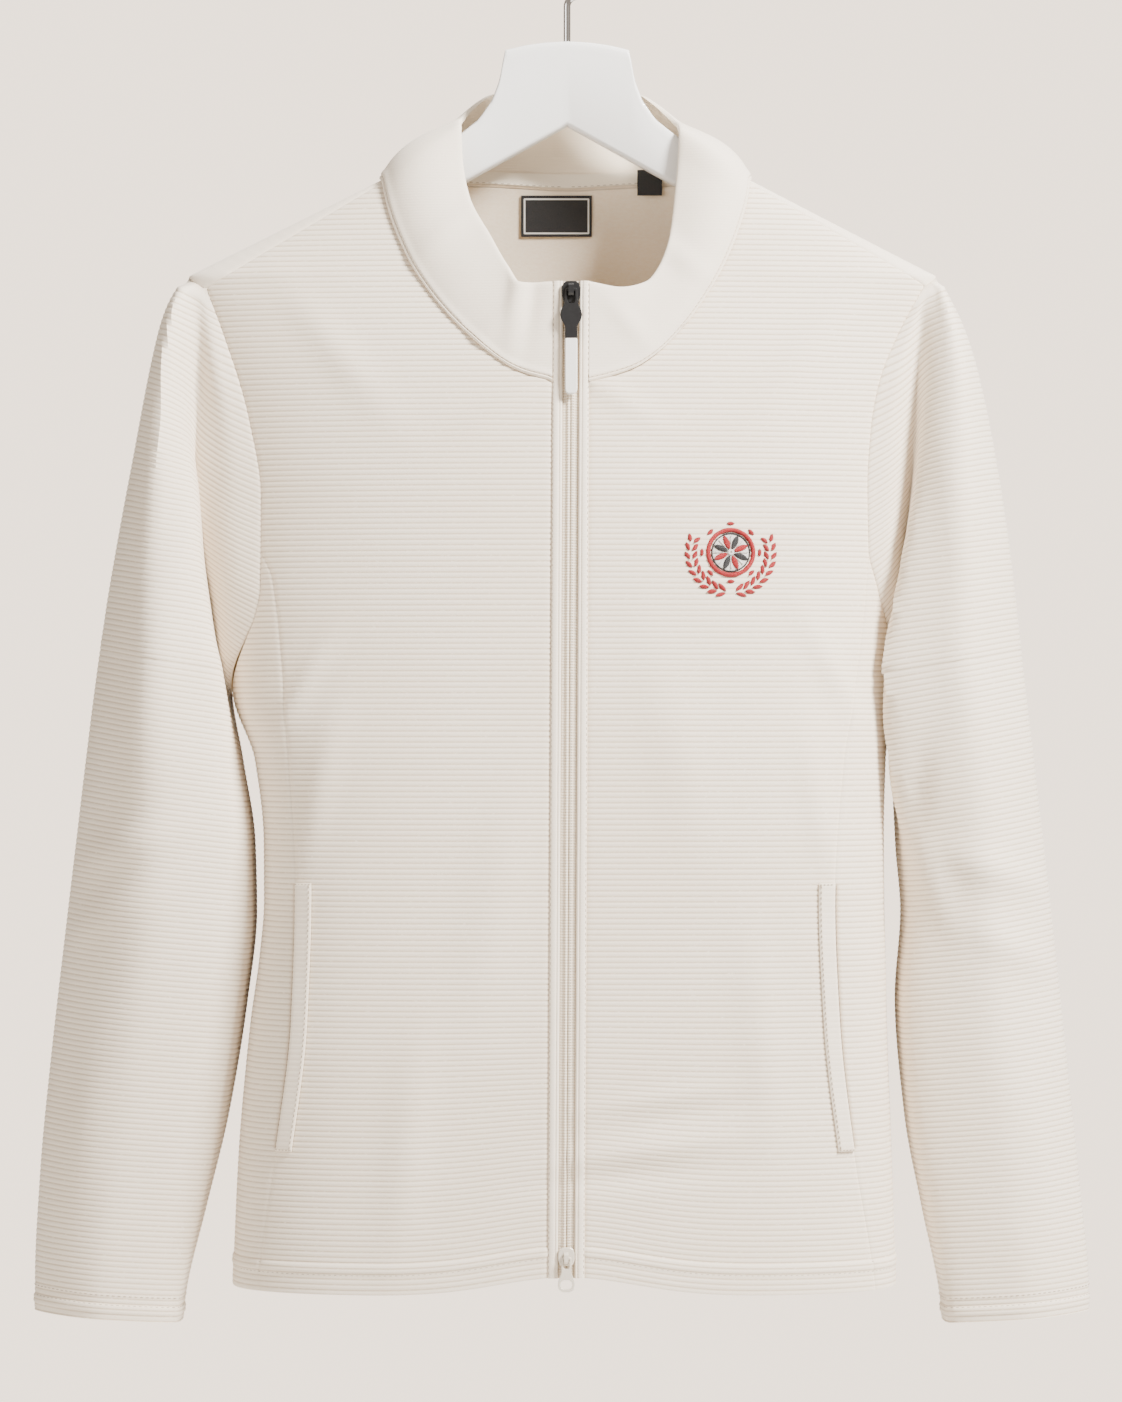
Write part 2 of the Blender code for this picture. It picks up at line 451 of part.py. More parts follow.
def collect(blocks):
    """One list of points, normals, reliefs and quads from grids, merging the points they share."""
    quads, start = [], 0
    for points, _, _ in blocks:
        rows, columns = points.shape[:2]
        number = start + np.arange(rows * columns).reshape(rows, columns)
        quads.append(np.stack((number[:-1, :-1], number[1:, :-1], number[1:, 1:],
                               number[:-1, 1:]), axis=-1).reshape(-1, 4))
        start += rows * columns
    points = np.concatenate([b[0].reshape(-1, 3) for b in blocks])
    normals = np.concatenate([b[1].reshape(-1, 3) for b in blocks])
    relief = np.concatenate([b[2].reshape(-1) for b in blocks])
    _, first, same = np.unique(np.round(points / 2e-5).astype(np.int64), axis=0,
                               return_index=True, return_inverse=True)
    same = same.reshape(-1)
    quads, points = same[np.concatenate(quads)], points[first]
    known = np.zeros((len(first), 3))
    np.add.at(known, same, np.nan_to_num(normals))
    p = points[quads]
    area = np.cross(p[:, 2] - p[:, 0], p[:, 3] - p[:, 1])
    found = np.zeros((len(first), 3))
    for corner in range(4):
        np.add.at(found, quads[:, corner], area)
    is_known = np.linalg.norm(known, axis=1, keepdims=True) > 0.1
    return points, unit(np.where(is_known, known, found)), relief[first], quads


def split_faces(points, quads):
    """Quads cut along their shorter diagonals, without the triangles that closed up."""
    faces = []
    for a, b, c, d in quads.tolist():
        if np.linalg.norm(points[a] - points[c]) <= np.linalg.norm(points[b] - points[d]):
            halves = (a, b, c), (a, c, d)
        else:
            halves = (a, b, d), (b, c, d)
        faces.extend(face for face in halves if len(set(face)) == 3)
    return faces


def open_edges(faces):
    """The directed edges that only one face has."""
    edges = {(face[i - 1], p) for face in faces for i, p in enumerate(face)}
    return sorted(edge for edge in edges if (edge[1], edge[0]) not in edges)


def set_back(points, normals, rim, inset):
    """Moves each edge point into its piece, so that both edges that meet there end inset away
    from the seam."""
    inward = {}
    for a, b in rim:
        push = np.cross(unit(normals[a] + normals[b]), points[b] - points[a])
        push = push / max(np.linalg.norm(push), 1e-12)
        inward.setdefault(a, []).append(push)
        inward.setdefault(b, []).append(push)
    moved = points.copy()
    for p, pushes in inward.items():
        both = pushes[0] + pushes[-1]
        moved[p] += inset * both / max(1 + float(pushes[0] @ pushes[-1]), 0.35)
    return moved


def cloth(name, blocks, material, wall=KNIT, inset=SEAM_INSET, lift=0.0):
    """A closed wall round a middle surface: it reaches half the wall to each side, plus the
    relief outside, and lift moves it all out from that surface. The edge's walls are split the
    same way on both sides of a seam."""
    points, normals, relief, quads = collect(blocks)
    faces = split_faces(points, quads)
    rim = open_edges(faces)
    points = set_back(points, normals, rim, inset)
    outside = points + normals * (lift + wall / 2 + relief)[:, None]
    inside = points + normals * (lift - wall / 2)
    count = len(points)
    solid = faces + [(c + count, b + count, a + count) for a, b, c in faces]
    for a, b in rim:
        if points[a, 2] < points[b, 2]:
            solid += [(b, a, b + count), (a, a + count, b + count)]
        else:
            solid += [(b, a, a + count), (b, a + count, b + count)]
    return add_mesh(name, np.concatenate((outside, inside)), solid, material)


def add_mesh(name, points, faces, material):
    """A named object with its own material."""
    mesh = bpy.data.meshes.new(name)
    mesh.from_pydata([tuple(p) for p in np.asarray(points).tolist()], [], faces)
    mesh.validate()
    mesh.shade_smooth()
    mesh.set_sharp_from_angle(angle=math.radians(40))
    mesh.materials.append(finish(material, name))
    piece = bpy.data.objects.new(name, mesh)
    bpy.context.scene.collection.objects.link(piece)
    return piece


def finish(material, name):
    """The piece's own Principled material."""
    colour, roughness, metallic = COLOURS[material]
    look = bpy.data.materials.new(f"{name}_{material}")
    look.use_nodes = True
    shader = look.node_tree.nodes["Principled BSDF"]
    shader.inputs["Base Color"].default_value = (*colour, 1.0)
    shader.inputs["Roughness"].default_value = roughness
    shader.inputs["Metallic"].default_value = metallic
    return look


# ---------------------------------------------------------------- body panels

def rows_between(side, start, end, steps):
    """Points and normals of the body's rows from one seam to another, evenly along each row but
    closer where it turns."""
    samples = np.linspace(0.0, 1.0, 61)
    points, normals = [], []
    for first_angle, first_drop, last_angle, last_drop in zip(*start, *end):
        line = torso(side, first_angle + (last_angle - first_angle) * samples,
                     first_drop + (last_drop - first_drop) * samples)
        move = np.diff(line, axis=0)
        turn = np.linalg.norm(np.diff(unit(move), axis=0), axis=1)
        length = np.linalg.norm(move, axis=1) + 0.03 * np.append(turn, turn[-1:])
        gone = np.concatenate(([0.0], np.cumsum(length)))
        share = np.interp(np.linspace(0.0, gone[-1], steps + 1), gone, samples)
        share[0], share[-1] = 0.0, 1.0
        angle = first_angle + (last_angle - first_angle) * share
        drop = first_drop + (last_drop - first_drop) * share
        points.append(torso(side, angle, drop))
        normals.append(torso_normal(side, angle, drop))
    return np.array(points), np.array(normals)


def hem_relief(v):
    """How far the turned hem and its sewn ridge stand proud on each row."""
    return np.interp(HEM_DROP - v, HEM_LEVELS[::-1], HEM_RELIEF[::-1], right=0.0)[:, None]


def panel(side, v, start, end, steps):
    """One block of the body's surface between two seams, on the rows v."""
    points, normals = rows_between(side, start(side, v), end(side, v), steps)
    return block(points, normals, hem_relief(v))


def at_ridge(side, v):
    """The shoulder ridge."""
    return np.full_like(v, math.pi / 2), v


def back_middle(side, v):
    """The middle of the back. The neck seam dips there, and the next rows level out."""
    return np.full_like(v, math.pi), v + BACK_NECK_DIP * (1 - ease((v - NECK_DROP) / 0.03))


def front_panel(side, name):
    """From the zip's band to the princess seam, up to the neckline, shoulder and armhole."""
    return cloth(name, [panel(side, ROWS, front_inner, front_outer, FRONT_STEPS)], "knit")


def side_panel(side, name):
    """Under the arm, from the princess seam to the seam behind it. Above the underarm it is two
    wings, one before and one behind the armhole."""
    v = ROWS[ROWS >= APEX_DROP - 1e-9]
    before = panel(side, v, front_outer, armhole_front, SIDE_STEPS)
    behind = panel(side, v, armhole_back, back_outer, SIDE_STEPS)
    return cloth(name, [before, behind], "knit")


def back_panel(name):
    """The whole back. It wraps over both shoulders to the forward seams."""
    top = ROWS[ROWS <= TIP_DROP + 1e-9]
    blocks = []
    for side in (-1, 1):
        blocks.append(panel(side, ROWS, back_middle, back_outer, BACK_STEPS))
        blocks.append(panel(side, top, front_outer, at_ridge, STRIP_STEPS))
    return cloth(name, blocks, "knit")


def welt(side, name):
    """A pocket's welt: a narrow strip on the front panel, along the princess seam."""
    v = np.linspace(WELT_TOP_DROP, WELT_FOOT_DROP, 9)
    edge = smooth(PRINCESS[side]["drop"], PRINCESS[side]["out"], v) - 2 * SEAM_INSET
    start = (oval_angle(side, edge - WELT_WIDTH, v), v)
    points, normals = rows_between(side, start, (oval_angle(side, edge, v), v), 2)
    lift = KNIT / 2 + CLEAR + WELT_WALL / 2
    return cloth(name, [block(points, normals)], "smooth_knit", WELT_WALL, 0.0, lift)


# ---------------------------------------------------------------- sleeves

def closed_row(points):
    """True for a row whose two ends are one point."""
    return np.linalg.norm(points[0] - points[-1]) < 1e-6


def through(points, steps):
    """A smooth row through its nine points, with the given columns between each two."""
    closed = closed_row(points)
    line = np.concatenate((points[-3:-1], points, points[1:3])) if closed else points
    gone = np.concatenate(([0.0], np.cumsum(np.linalg.norm(np.diff(line, axis=0), axis=1))))
    first = 2 if closed else 0
    at = [gone[first]]
    for i, count in enumerate(steps):
        a, b = gone[first + i], gone[first + i + 1]
        at.extend(a + (b - a) * (np.arange(count) + 1) / count)
    row = np.stack([smooth(gone, line[:, axis], np.array(at)) for axis in range(3)], axis=-1)
    if closed:
        row[-1] = row[0]
    return row


def sleeve_row(side, v):
    """The nine points of the sleeve's row that meets the armhole, or its inner line, at v."""
    at = {name: float(smooth(SLEEVE[side]["drop"], values, v))
          for name, values in SLEEVE[side].items() if name != "drop"}
    if v < UNDERARM_DROP - 1e-9:
        start = torso(side, *armhole_front(side, v)) * (side, 1, 1)
        end = torso(side, *armhole_back(side, v)) * (side, 1, 1)
    else:
        start = end = np.array((at["seam"], 0.0, -v))
    outer = float(smooth(SLEEVE_OUTER[side]["drop"], SLEEVE_OUTER[side]["out"], at["level"]))
    tube = ease((v - 0.40) / 0.10)
    if v < UNDERARM_DROP - 1e-9:
        aside = at["seam"] - float(half_width(side, UNDERARM_DROP))
        start, end = (p + (aside * ease((v - 0.395) / 0.035), 0, 0) for p in (start, end))
    crown = SLEEVE_CROWN * ease((v - TIP_DROP) / 0.08) * (1 - tube)
    crown_y = 0.55 * start[1] - 0.45 * at["valley_y"] - crown
    out = np.array((start[0], start[0] + 0.45 * (at["valley_out"] - start[0]), at["valley_out"],
                    at["edge_out"], (at["edge_out"] + outer) / 2, outer,
                    (at["heel_out"] + outer) / 2, at["heel_out"], end[0]))
    y = np.array((start[1], crown_y, -at["valley_y"], -at["edge_y"], -at["front_y"], 0.0,
                  at["back_y"], at["heel_y"], end[1]))
    level = (out - start[0]) / (outer - start[0])
    fall = np.array(SLEEVE_FALL) * (1 - tube) + level * tube
    top = np.where(np.arange(9) < 5, start[2], end[2])
    z = top + fall * (-at["level"] - top)
    return np.stack((side * out, y, z), axis=-1)


def cuff_relief(v):
    """How far the turned cuff and its sewn ridge stand proud on each row."""
    return np.interp(CUFF_DROP - v, CUFF_LEVELS[::-1], CUFF_RELIEF[::-1], right=0.0)[:, None]


def sleeve(side, name):
    """A set-in sleeve. Its first row is the seam over the shoulder, and its rows end on the
    armhole down to the underarm, below which they are closed rings."""
    columns = sum(SLEEVE_STEPS) + 1
    top = front_outer(side, np.array([TIP_DROP])), at_ridge(side, np.array([TIP_DROP]))
    over, over_normals = rows_between(side, *top, STRIP_STEPS)
    share = np.linspace(0.0, STRIP_STEPS, columns)
    knots = np.arange(STRIP_STEPS + 1)
    share[columns // 2] = STRIP_STEPS / 2
    first = np.stack([np.interp(share, knots, over[0][:, i]) for i in range(3)], axis=-1)
    first_normals = np.stack([np.interp(share, knots, over_normals[0][:, i]) for i in range(3)],
                             axis=-1)
    rows = [first] + [through(sleeve_row(side, v), SLEEVE_STEPS) for v in SLEEVE_ROWS[1:]]
    points = np.array(rows)
    normals = np.full(points.shape, np.nan)
    normals[0] = unit(first_normals)
    seam = (SLEEVE_ROWS > TIP_DROP + 1e-9) & (SLEEVE_ROWS < UNDERARM_DROP + 1e-9)
    normals[seam, 0] = torso_normal(side, *armhole_front(side, SLEEVE_ROWS[seam]))
    normals[seam, -1] = torso_normal(side, *armhole_back(side, SLEEVE_ROWS[seam]))
    return cloth(name, [block(points, normals, cuff_relief(SLEEVE_ROWS))], "knit",
                 inset=SLEEVE_INSET)


# ---------------------------------------------------------------- collar, zip bands and tapes

def neck_loop(side):
    """Points and normals of the neck seam from the zip round to the middle of the back."""
    v = ROWS[ROWS <= CF_NECK_DROP + 1e-9][::-1]
    angle, drop = front_inner(side, v)
    points, normals = [torso(side, angle, drop)], [torso_normal(side, angle, drop)]
    v = np.array([NECK_DROP])
    for start, end, steps in ((front_outer(side, v), at_ridge(side, v), STRIP_STEPS),
                              (at_ridge(side, v), back_middle(side, v), BACK_STEPS)):
        line, normal = rows_between(side, start, end, steps)
        points.append(line[0][1:])
        normals.append(normal[0][1:])
    return np.concatenate(points), np.concatenate(normals)


def collar_side(side, levels):
    """One half of the collar's middle surface: straight lines from the neck seam to the upper
    edge, swollen outwards between them. Rows are levels, columns follow the neck seam."""
    seam, seam_normals = neck_loop(side)
    gone = np.concatenate(([0.0], np.cumsum(np.linalg.norm(np.diff(seam, axis=0), axis=1))))
    share = gone / gone[-1]
    edge = {name: smooth(COLLAR_TOP[side]["share"], values, share)
            for name, values in COLLAR_TOP[side].items()}
    top = np.stack((side * edge["out"], -edge["front"], -edge["drop"]), axis=-1)
    top[0, 0] = side * zip_line(side, COLLAR_TOP_DROP, ZIP_HALF + BAND_WIDTH)
    level = np.array(levels)[:, None, None]
    flat = seam + (top - seam) * level
    outward = np.cross(np.gradient(seam, axis=0), top - seam) * side
    outward[-1] = 0.0, top[-1, 2] - seam[-1, 2], seam[-1, 1] - top[-1, 1]
    outward = unit(outward)
    swell = smooth(COLLAR_BULGE["share"], COLLAR_BULGE["swell"], share)[:, None]
    points = flat + outward * swell * np.sin(math.pi * level ** 0.8)
    down, along = np.gradient(points, axis=0), np.gradient(points, axis=1)
    normals = unit(np.cross(along, down) * side)
    normals *= np.sign((normals * outward).sum(axis=-1, keepdims=True))
    normals[:, -1, 0] = 0.0
    if levels[0] == 0.0:
        rise = unit(points[1] - points[0])
        steep = np.maximum((rise * seam_normals).sum(axis=-1, keepdims=True), 0.0)
        points[0] += rise * steep * (KNIT / 2 + CLEAR)
    return points, unit(normals), share


def collar(name):
    """The stand collar, open at the zip."""
    blocks = []
    for side in (-1, 1):
        points, normals, _ = collar_side(side, COLLAR_LEVELS)
        blocks.append(block(points, normals, np.array(COLLAR_RELIEF)[:, None]))
    return cloth(name, blocks, "smooth_knit", COLLAR_WALL)


def zip_edge(side):
    """The line where the band meets the collar and the front panel, top to bottom."""
    points, normals, _ = collar_side(side, COLLAR_LEVELS)
    v = ROWS[ROWS >= CF_NECK_DROP - 1e-9]
    angle, drop = front_inner(side, v)
    return (np.concatenate((points[::-1, 0][:-1], torso(side, angle, drop))),
            np.concatenate((normals[::-1, 0][:-1], torso_normal(side, angle, drop))))


def beside_zip(side, offs, relief):
    """A block of strips beside the zip: columns at these distances in from the band's outer
    edge, each with its own relief."""
    line, normal = zip_edge(side)
    across = np.array(offs)[None, :, None] * np.array((-side, 0.0, 0.0))
    points = line[:, None, :] + across
    return block(points, np.broadcast_to(normal[:, None, :], points.shape), np.array(relief))


def zip_band(side, name):
    """The smooth binding that runs beside the zip from the collar's top to the hem."""
    offs = np.array((0.0, 0.25, 0.75, 1.0)) * BAND_WIDTH
    strip = beside_zip(side, offs, (0.0, 0.0006, 0.0006, 0.0))
    return cloth(name, [strip], "smooth_knit", BAND_WALL)


def zip_tape(side, name):
    """Half of the zip: its tape, and the raised line of its coil at the middle."""
    offs = BAND_WIDTH + np.array((0.0, 0.5, 0.7, 1.0)) * ZIP_HALF
    strip = beside_zip(side, offs, (0.0, 0.0, 0.0009, 0.0005))
    return cloth(name, [strip], "coil", TAPE_WALL, SEAM_INSET, -0.0004)


# ---------------------------------------------------------------- tape and labels in the neck

def neck_tape(name):
    """The tape inside the back of the neck, along the foot of the collar."""
    blocks = []
    for side in (-1, 1):
        points, normals, _ = collar_side(side, TAPE_LEVELS)
        back = points[0, :, 1] >= TAPE_START
        blocks.append(block(points[:, back], normals[:, back]))
    lift = -(COLLAR_WALL / 2 + CLEAR + NECK_TAPE_WALL / 2)
    return cloth(name, blocks, "inner", NECK_TAPE_WALL, 0.0, lift)


def neck_label(name):
    """The woven label, flat on the inside of the back."""
    drop, x = np.meshgrid(np.linspace(*LABEL_DROPS, 5), np.linspace(*LABEL_X, 9), indexing="ij")
    points, normals = np.empty(x.shape + (3,)), np.empty(x.shape + (3,))
    for side in (-1, 1):
        here = np.sign(x) == side
        angle = oval_angle(side, np.abs(x[here]), drop[here], behind=True)
        points[here] = torso(side, angle, drop[here])
        normals[here] = torso_normal(side, angle, drop[here])
    lift = -(KNIT / 2 + CLEAR + LABEL_WALL / 2)
    return cloth(name, [block(points, normals)], "black_label", LABEL_WALL, 0.0, lift)


def size_label(name):
    """The small size label, which hangs straight down from the tape."""
    x, drop = np.meshgrid(SIZE_LABEL_X, SIZE_LABEL_DROPS)
    points = np.stack((x, np.full_like(x, SIZE_LABEL_Y), -drop), axis=-1)
    normals = np.broadcast_to((0.0, 1.0, 0.0), points.shape)
    return cloth(name, [block(points, normals)], "black_label", LABEL_WALL, 0.0)


# ---------------------------------------------------------------- sliders and pulls

def both_sides(half):
    """A closed outline from its right half, listed from top to bottom."""
    return list(half) + [(-x, z) for x, z in reversed(half) if x > 1e-9]


def plate(name, outlines, near, far, material, spin=0.0, edge=0.0):
    """A flat plate: outlines in the local x and z (mm), the first round the rest, which are
    holes, drawn out in y from near to far (mm). Spin turns the plate about the vertical."""
    build = bmesh.new()
    for outline in outlines:
        corners = [build.verts.new((x / 1000, near / 1000, z / 1000)) for x, z in outline]
        for i, corner in enumerate(corners):
            build.edges.new((corners[i - 1], corner))
    bmesh.ops.triangle_fill(build, edges=build.edges[:], use_beauty=True)
    bmesh.ops.dissolve_limit(build, angle_limit=0.01, verts=build.verts[:], edges=build.edges[:])
    faces = bmesh.ops.extrude_face_region(build, geom=build.faces[:])["geom"]
    moved = [item for item in faces if isinstance(item, bmesh.types.BMVert)]
    bmesh.ops.translate(build, verts=moved, vec=(0.0, (far - near) / 1000, 0.0))
    bmesh.ops.recalc_face_normals(build, faces=build.faces[:])
    if edge:
        rim = [e for e in build.edges if e.calc_face_angle(0.0) > math.radians(60)]
        bmesh.ops.bevel(build, geom=rim, offset=edge / 1000, segments=1, affect="EDGES")
    bmesh.ops.rotate(build, verts=build.verts[:], cent=(0, 0, 0),
                     matrix=Matrix.Rotation(spin, 3, "Z"))
    bmesh.ops.triangulate(build, faces=[f for f in build.faces if len(f.verts) > 4])
    points = [tuple(v.co) for v in build.verts]
    build.verts.index_update()
    corners = [tuple(v.index for v in f.verts) for f in build.faces]
    build.free()
    return add_mesh(name, points, corners, material)


def set_at(piece, place, lean, pivot=(0.0, 0.0)):
    """Puts a piece drawn about the local origin at its place, leaning with the cloth, with the
    object's own origin on its pivot (local y and z in mm)."""
    turn = Matrix.Rotation(-lean, 4, "X")
    centre = Vector((0.0, pivot[0] / 1000, pivot[1] / 1000))
    piece.data.transform(turn @ Matrix.Translation(-centre))
    piece.location = Vector(place) + turn @ centre


def slider(name, place, lean, size, material):
    """A slider's plate and the arch over it that holds the pull."""
    body = plate(name, [both_sides(size["plate"])], 0.0, -size["thick"], material, edge=0.35)
    top, foot, reach = size["arch_top"], size["arch_foot"], -size["arch_reach"]
    floor = -size["thick"]
    arch = plate(f"{name}_arch", [
        [(floor + 0.6, top), (reach + 1.2, top), (reach, top - 1.2), (reach, foot + 1.2),
         (reach + 1.2, foot), (floor + 0.6, foot)],
        [(floor, size["hole_top"]), (reach + 1.2, size["hole_top"]),
         (reach + 1.2, size["hole_foot"]), (floor, size["hole_foot"])],
    ], -size["arch_half"], size["arch_half"], material, spin=math.pi / 2)
    for piece in (body, arch):
        set_at(piece, place, lean)
    arch.hide_render = True
    arch.display_type = "WIRE"
    joined = body.modifiers.new("arch", "BOOLEAN")
    joined.operation = "UNION"
    joined.solver = "EXACT"
    joined.object = arch
    return body


def slider_place(x, drop, behind):
    """Where a slider's back stands in front of the bands, and how far the cloth leans there."""
    line, _ = zip_edge(1)
    order = np.argsort(-line[:, 2])
    heights, fronts = -line[order, 2], line[order, 1]
    y = float(np.interp(drop, heights, fronts))
    above, below = (float(np.interp(drop + d, heights, fronts)) for d in (-0.004, 0.004))
    lean = math.atan2(above - below, 0.008)
    return (x, y - (BAND_WALL / 2 + 0.0006 + behind) / math.cos(lean), -drop), lean


def top_slider(body_name, pull_name, end_name):
    """The black slider at the collar, its pull and the tab on the pull's end."""
    place, lean = slider_place(float(zip_middle(TOP_SLIDER_DROP)), TOP_SLIDER_DROP, CLEAR)
    slider(body_name, place, lean, TOP_SLIDER, "black_metal")
    y, z = TOP_SLIDER["pivot"]
    outline = both_sides([(2.4, 0.8), (3.3, 0.2), (3.7, -4.0), (4.1, -8.5), (5.6, -11.5),
                          (6.25, -14.7), (5.6, -17.5), (4.2, -19.6), (3.5, -21.0), (3.5, -28.0)])
    window = both_sides([(2.1, -0.8), (2.3, -5.5), (2.0, -7.2), (1.2, -7.8)])
    shift = [[(x, z + below) for x, below in line] for line in (outline, window)]
    pull = plate(pull_name, shift, y - 0.8, y + 0.8, "black_metal", edge=0.25)
    set_at(pull, place, lean, (y, z))
    tab = both_sides([(2.9, -28.3), (3.5, -28.9), (3.5, -57.4), (3.0, -59.3), (1.8, -60.3)])
    end = plate(end_name, [[(x, z + below) for x, below in tab]], y - 1.3, y + 1.3,
                "pale_plastic", edge=0.5)
    set_at(end, place, lean, (y, z))


def bottom_slider(body_name, pull_name):
    """The pale slider at the hem, with a pull that ends in a ring."""
    x = float(zip_middle(BOTTOM_SLIDER_DROP))
    place, lean = slider_place(x, BOTTOM_SLIDER_DROP, -0.0005)
    slider(body_name, place, lean, BOTTOM_SLIDER, "cream_metal")
    y, z = BOTTOM_SLIDER["pivot"]
    outline = both_sides([(2.0, 0.7), (2.8, 0.0), (2.8, -8.4), (3.6, -10.4), (4.6, -13.0),
                          (4.8, -15.4), (4.2, -17.6), (2.8, -18.8), (1.2, -19.2)])
    window = both_sides([(1.7, -0.7), (1.7, -5.4), (1.1, -6.0)])
    ring = both_sides([(1.6, -12.4), (3.0, -13.6), (3.3, -15.4), (2.8, -16.8), (1.4, -17.5)])
    shift = [[(x, z + below) for x, below in line] for line in (outline, window, ring)]
    pull = plate(pull_name, shift, y - 0.7, y + 0.7, "cream_metal", edge=0.2)
    set_at(pull, place, lean, (y, z))
    pull.data.transform(Matrix.Rotation(lean, 4, "X"))


# ---------------------------------------------------------------- hanger

def ridge_drop(side, out):
    """Drop of the cloth's shoulder ridge."""
    slope = (SHOULDER_DROP - NECK_DROP) / (SHOULDER_HALF[side] - NECK_HALF[side])
    return NECK_DROP + (out - NECK_HALF[side]) * slope


def hanger_section(side, out):
    """A closed ring of points across the hanger: front from top to bottom, then the back."""
    tip = HANGER_TIP[side]
    past = np.clip(1 - (tip - out) / 0.008, 0.0, 1.0)
    shrink = 0.0055 * (1 - math.sqrt(1 - past ** 2))
    under = ridge_drop(side, out) + 0.0026
    if out < HANGER_TOP["out"][-1]:
        top = float(np.interp(out, HANGER_TOP["out"], HANGER_TOP["drop"]))
    else:
        top = under
    top += shrink
    low = float(np.interp(out, HANGER_LOW["out"], HANGER_LOW["drop"])) - shrink
    heights = np.array((0.0, 0.0010, 0.0030, 0.0060, 0.0100))
    heights = heights * min(1.0, (low - top - 0.0030) / 0.0100)
    drop = np.concatenate((top + heights, (low - 0.0025, low - 0.0007, low)))
    rounding = HANGER_ROUNDING
    near = np.clip(1 - heights / rounding, 0.0, 1.0)
    thick = HANGER_HALF - rounding * (1 - np.sqrt(1 - near ** 2))
    thick = np.concatenate((thick, (HANGER_HALF, HANGER_HALF - 0.0008, HANGER_HALF - 0.0025)))
    thick = thick - 0.0015 * past ** 2
    halves = []
    for column in ("front", "back"):
        room = np.full(len(drop), 1.0)
        if out >= 0.100:
            wide = half_width(side, drop - 0.0016)
            share = np.clip(out / wide, 0.0, 1.0)
            room = smooth(BODY["drop"], BODY[column], drop - 0.0016) * np.sqrt(1 - share ** 2)
        halves.append(np.maximum(np.minimum(thick, room - 0.0017), 0.0004))
    front = np.stack((np.full(8, side * out), -halves[0], -drop), axis=-1)
    back = np.stack((np.full(8, side * out), halves[1], -drop), axis=-1)
    return np.concatenate((front, back[::-1]))


def loft(name, rings, material):
    """A solid through closed rings of the same number of points, with flat ends."""
    count, around = len(rings), len(rings[0])
    number = np.arange(count * around).reshape(count, around)
    faces = []
    for row, following in zip(number[:-1], number[1:]):
        for i in range(around):
            faces.append((row[i - 1], row[i], following[i], following[i - 1]))
    faces.append(tuple(number[0][::-1]))
    faces.append(tuple(number[-1]))
    faces = [tuple(int(p) for p in face) for face in faces]
    return add_mesh(name, np.concatenate(rings), faces, material)


def hanger(name):
    """The painted wooden hanger, cut to the slope of the shoulders."""
    rings = []
    for side in (-1, 1):
        tip = HANGER_TIP[side]
        outs = [0.0] * (side > 0) + list(HANGER_STATIONS) + [tip - 0.008, tip - 0.004, tip - 0.0015, tip]
        half = [hanger_section(side, out) for out in outs]
        rings.extend(half[::-1] if side < 0 else half)
    return loft(name, rings, "white_paint")


def hook(name):
    """The wire hook: a straight stem, a bend to the right and the round over the rail."""
    turn, bend = HOOK_BEND_ANGLE, HOOK_BEND_RADIUS
    centre = WIRE_RADIUS - HOOK_RADIUS
    straight = (HOOK_RADIUS * math.cos(turn) - bend * (1 - math.cos(turn))) / math.sin(turn)
    stem_top = (centre - (HOOK_RADIUS + bend) * math.sin(turn) - straight * math.cos(turn))
    line = [(0.0, HOOK_FOOT, 0.0), (0.0, (HOOK_FOOT + stem_top) / 2, 0.0)]
    for angle in np.linspace(0.0, turn, 6):
        line.append((bend * (1 - math.cos(angle)), stem_top + bend * math.sin(angle), angle))
    for angle in np.linspace(-turn, HOOK_END_ANGLE, 22):
        line.append((HOOK_RADIUS * math.cos(angle), centre + HOOK_RADIUS * math.sin(angle), -angle))
    rings = []
    around = np.arange(8) * math.tau / 8
    for x, z, heading in line:
        across = WIRE_RADIUS * np.cos(around)
        rings.append(np.stack((x + across * math.cos(heading), WIRE_RADIUS * np.sin(around),
                               z - across * math.sin(heading)), axis=-1))
    return loft(name, rings, "chrome")


# ---------------------------------------------------------------- the whole

def main():
    for old in list(bpy.data.objects):
        bpy.data.objects.remove(old)
    for side, place in ((-1, "left"), (1, "right")):
        front_panel(side, f"front_{place}")
        side_panel(side, f"side_{place}")
        sleeve(side, f"sleeve_{place}")
        zip_band(side, f"zip_band_{place}")
        zip_tape(side, f"zip_tape_{place}")
        welt(side, f"pocket_welt_{place}")
    back_panel("back")
    collar("collar")
    neck_tape("neck_tape")
    neck_label("neck_label")
    size_label("size_label")
    top_slider("slider_top", "pull_top", "pull_top_end")
    bottom_slider("slider_bottom", "pull_bottom")
    hanger("hanger")
    hook("hook")


main()
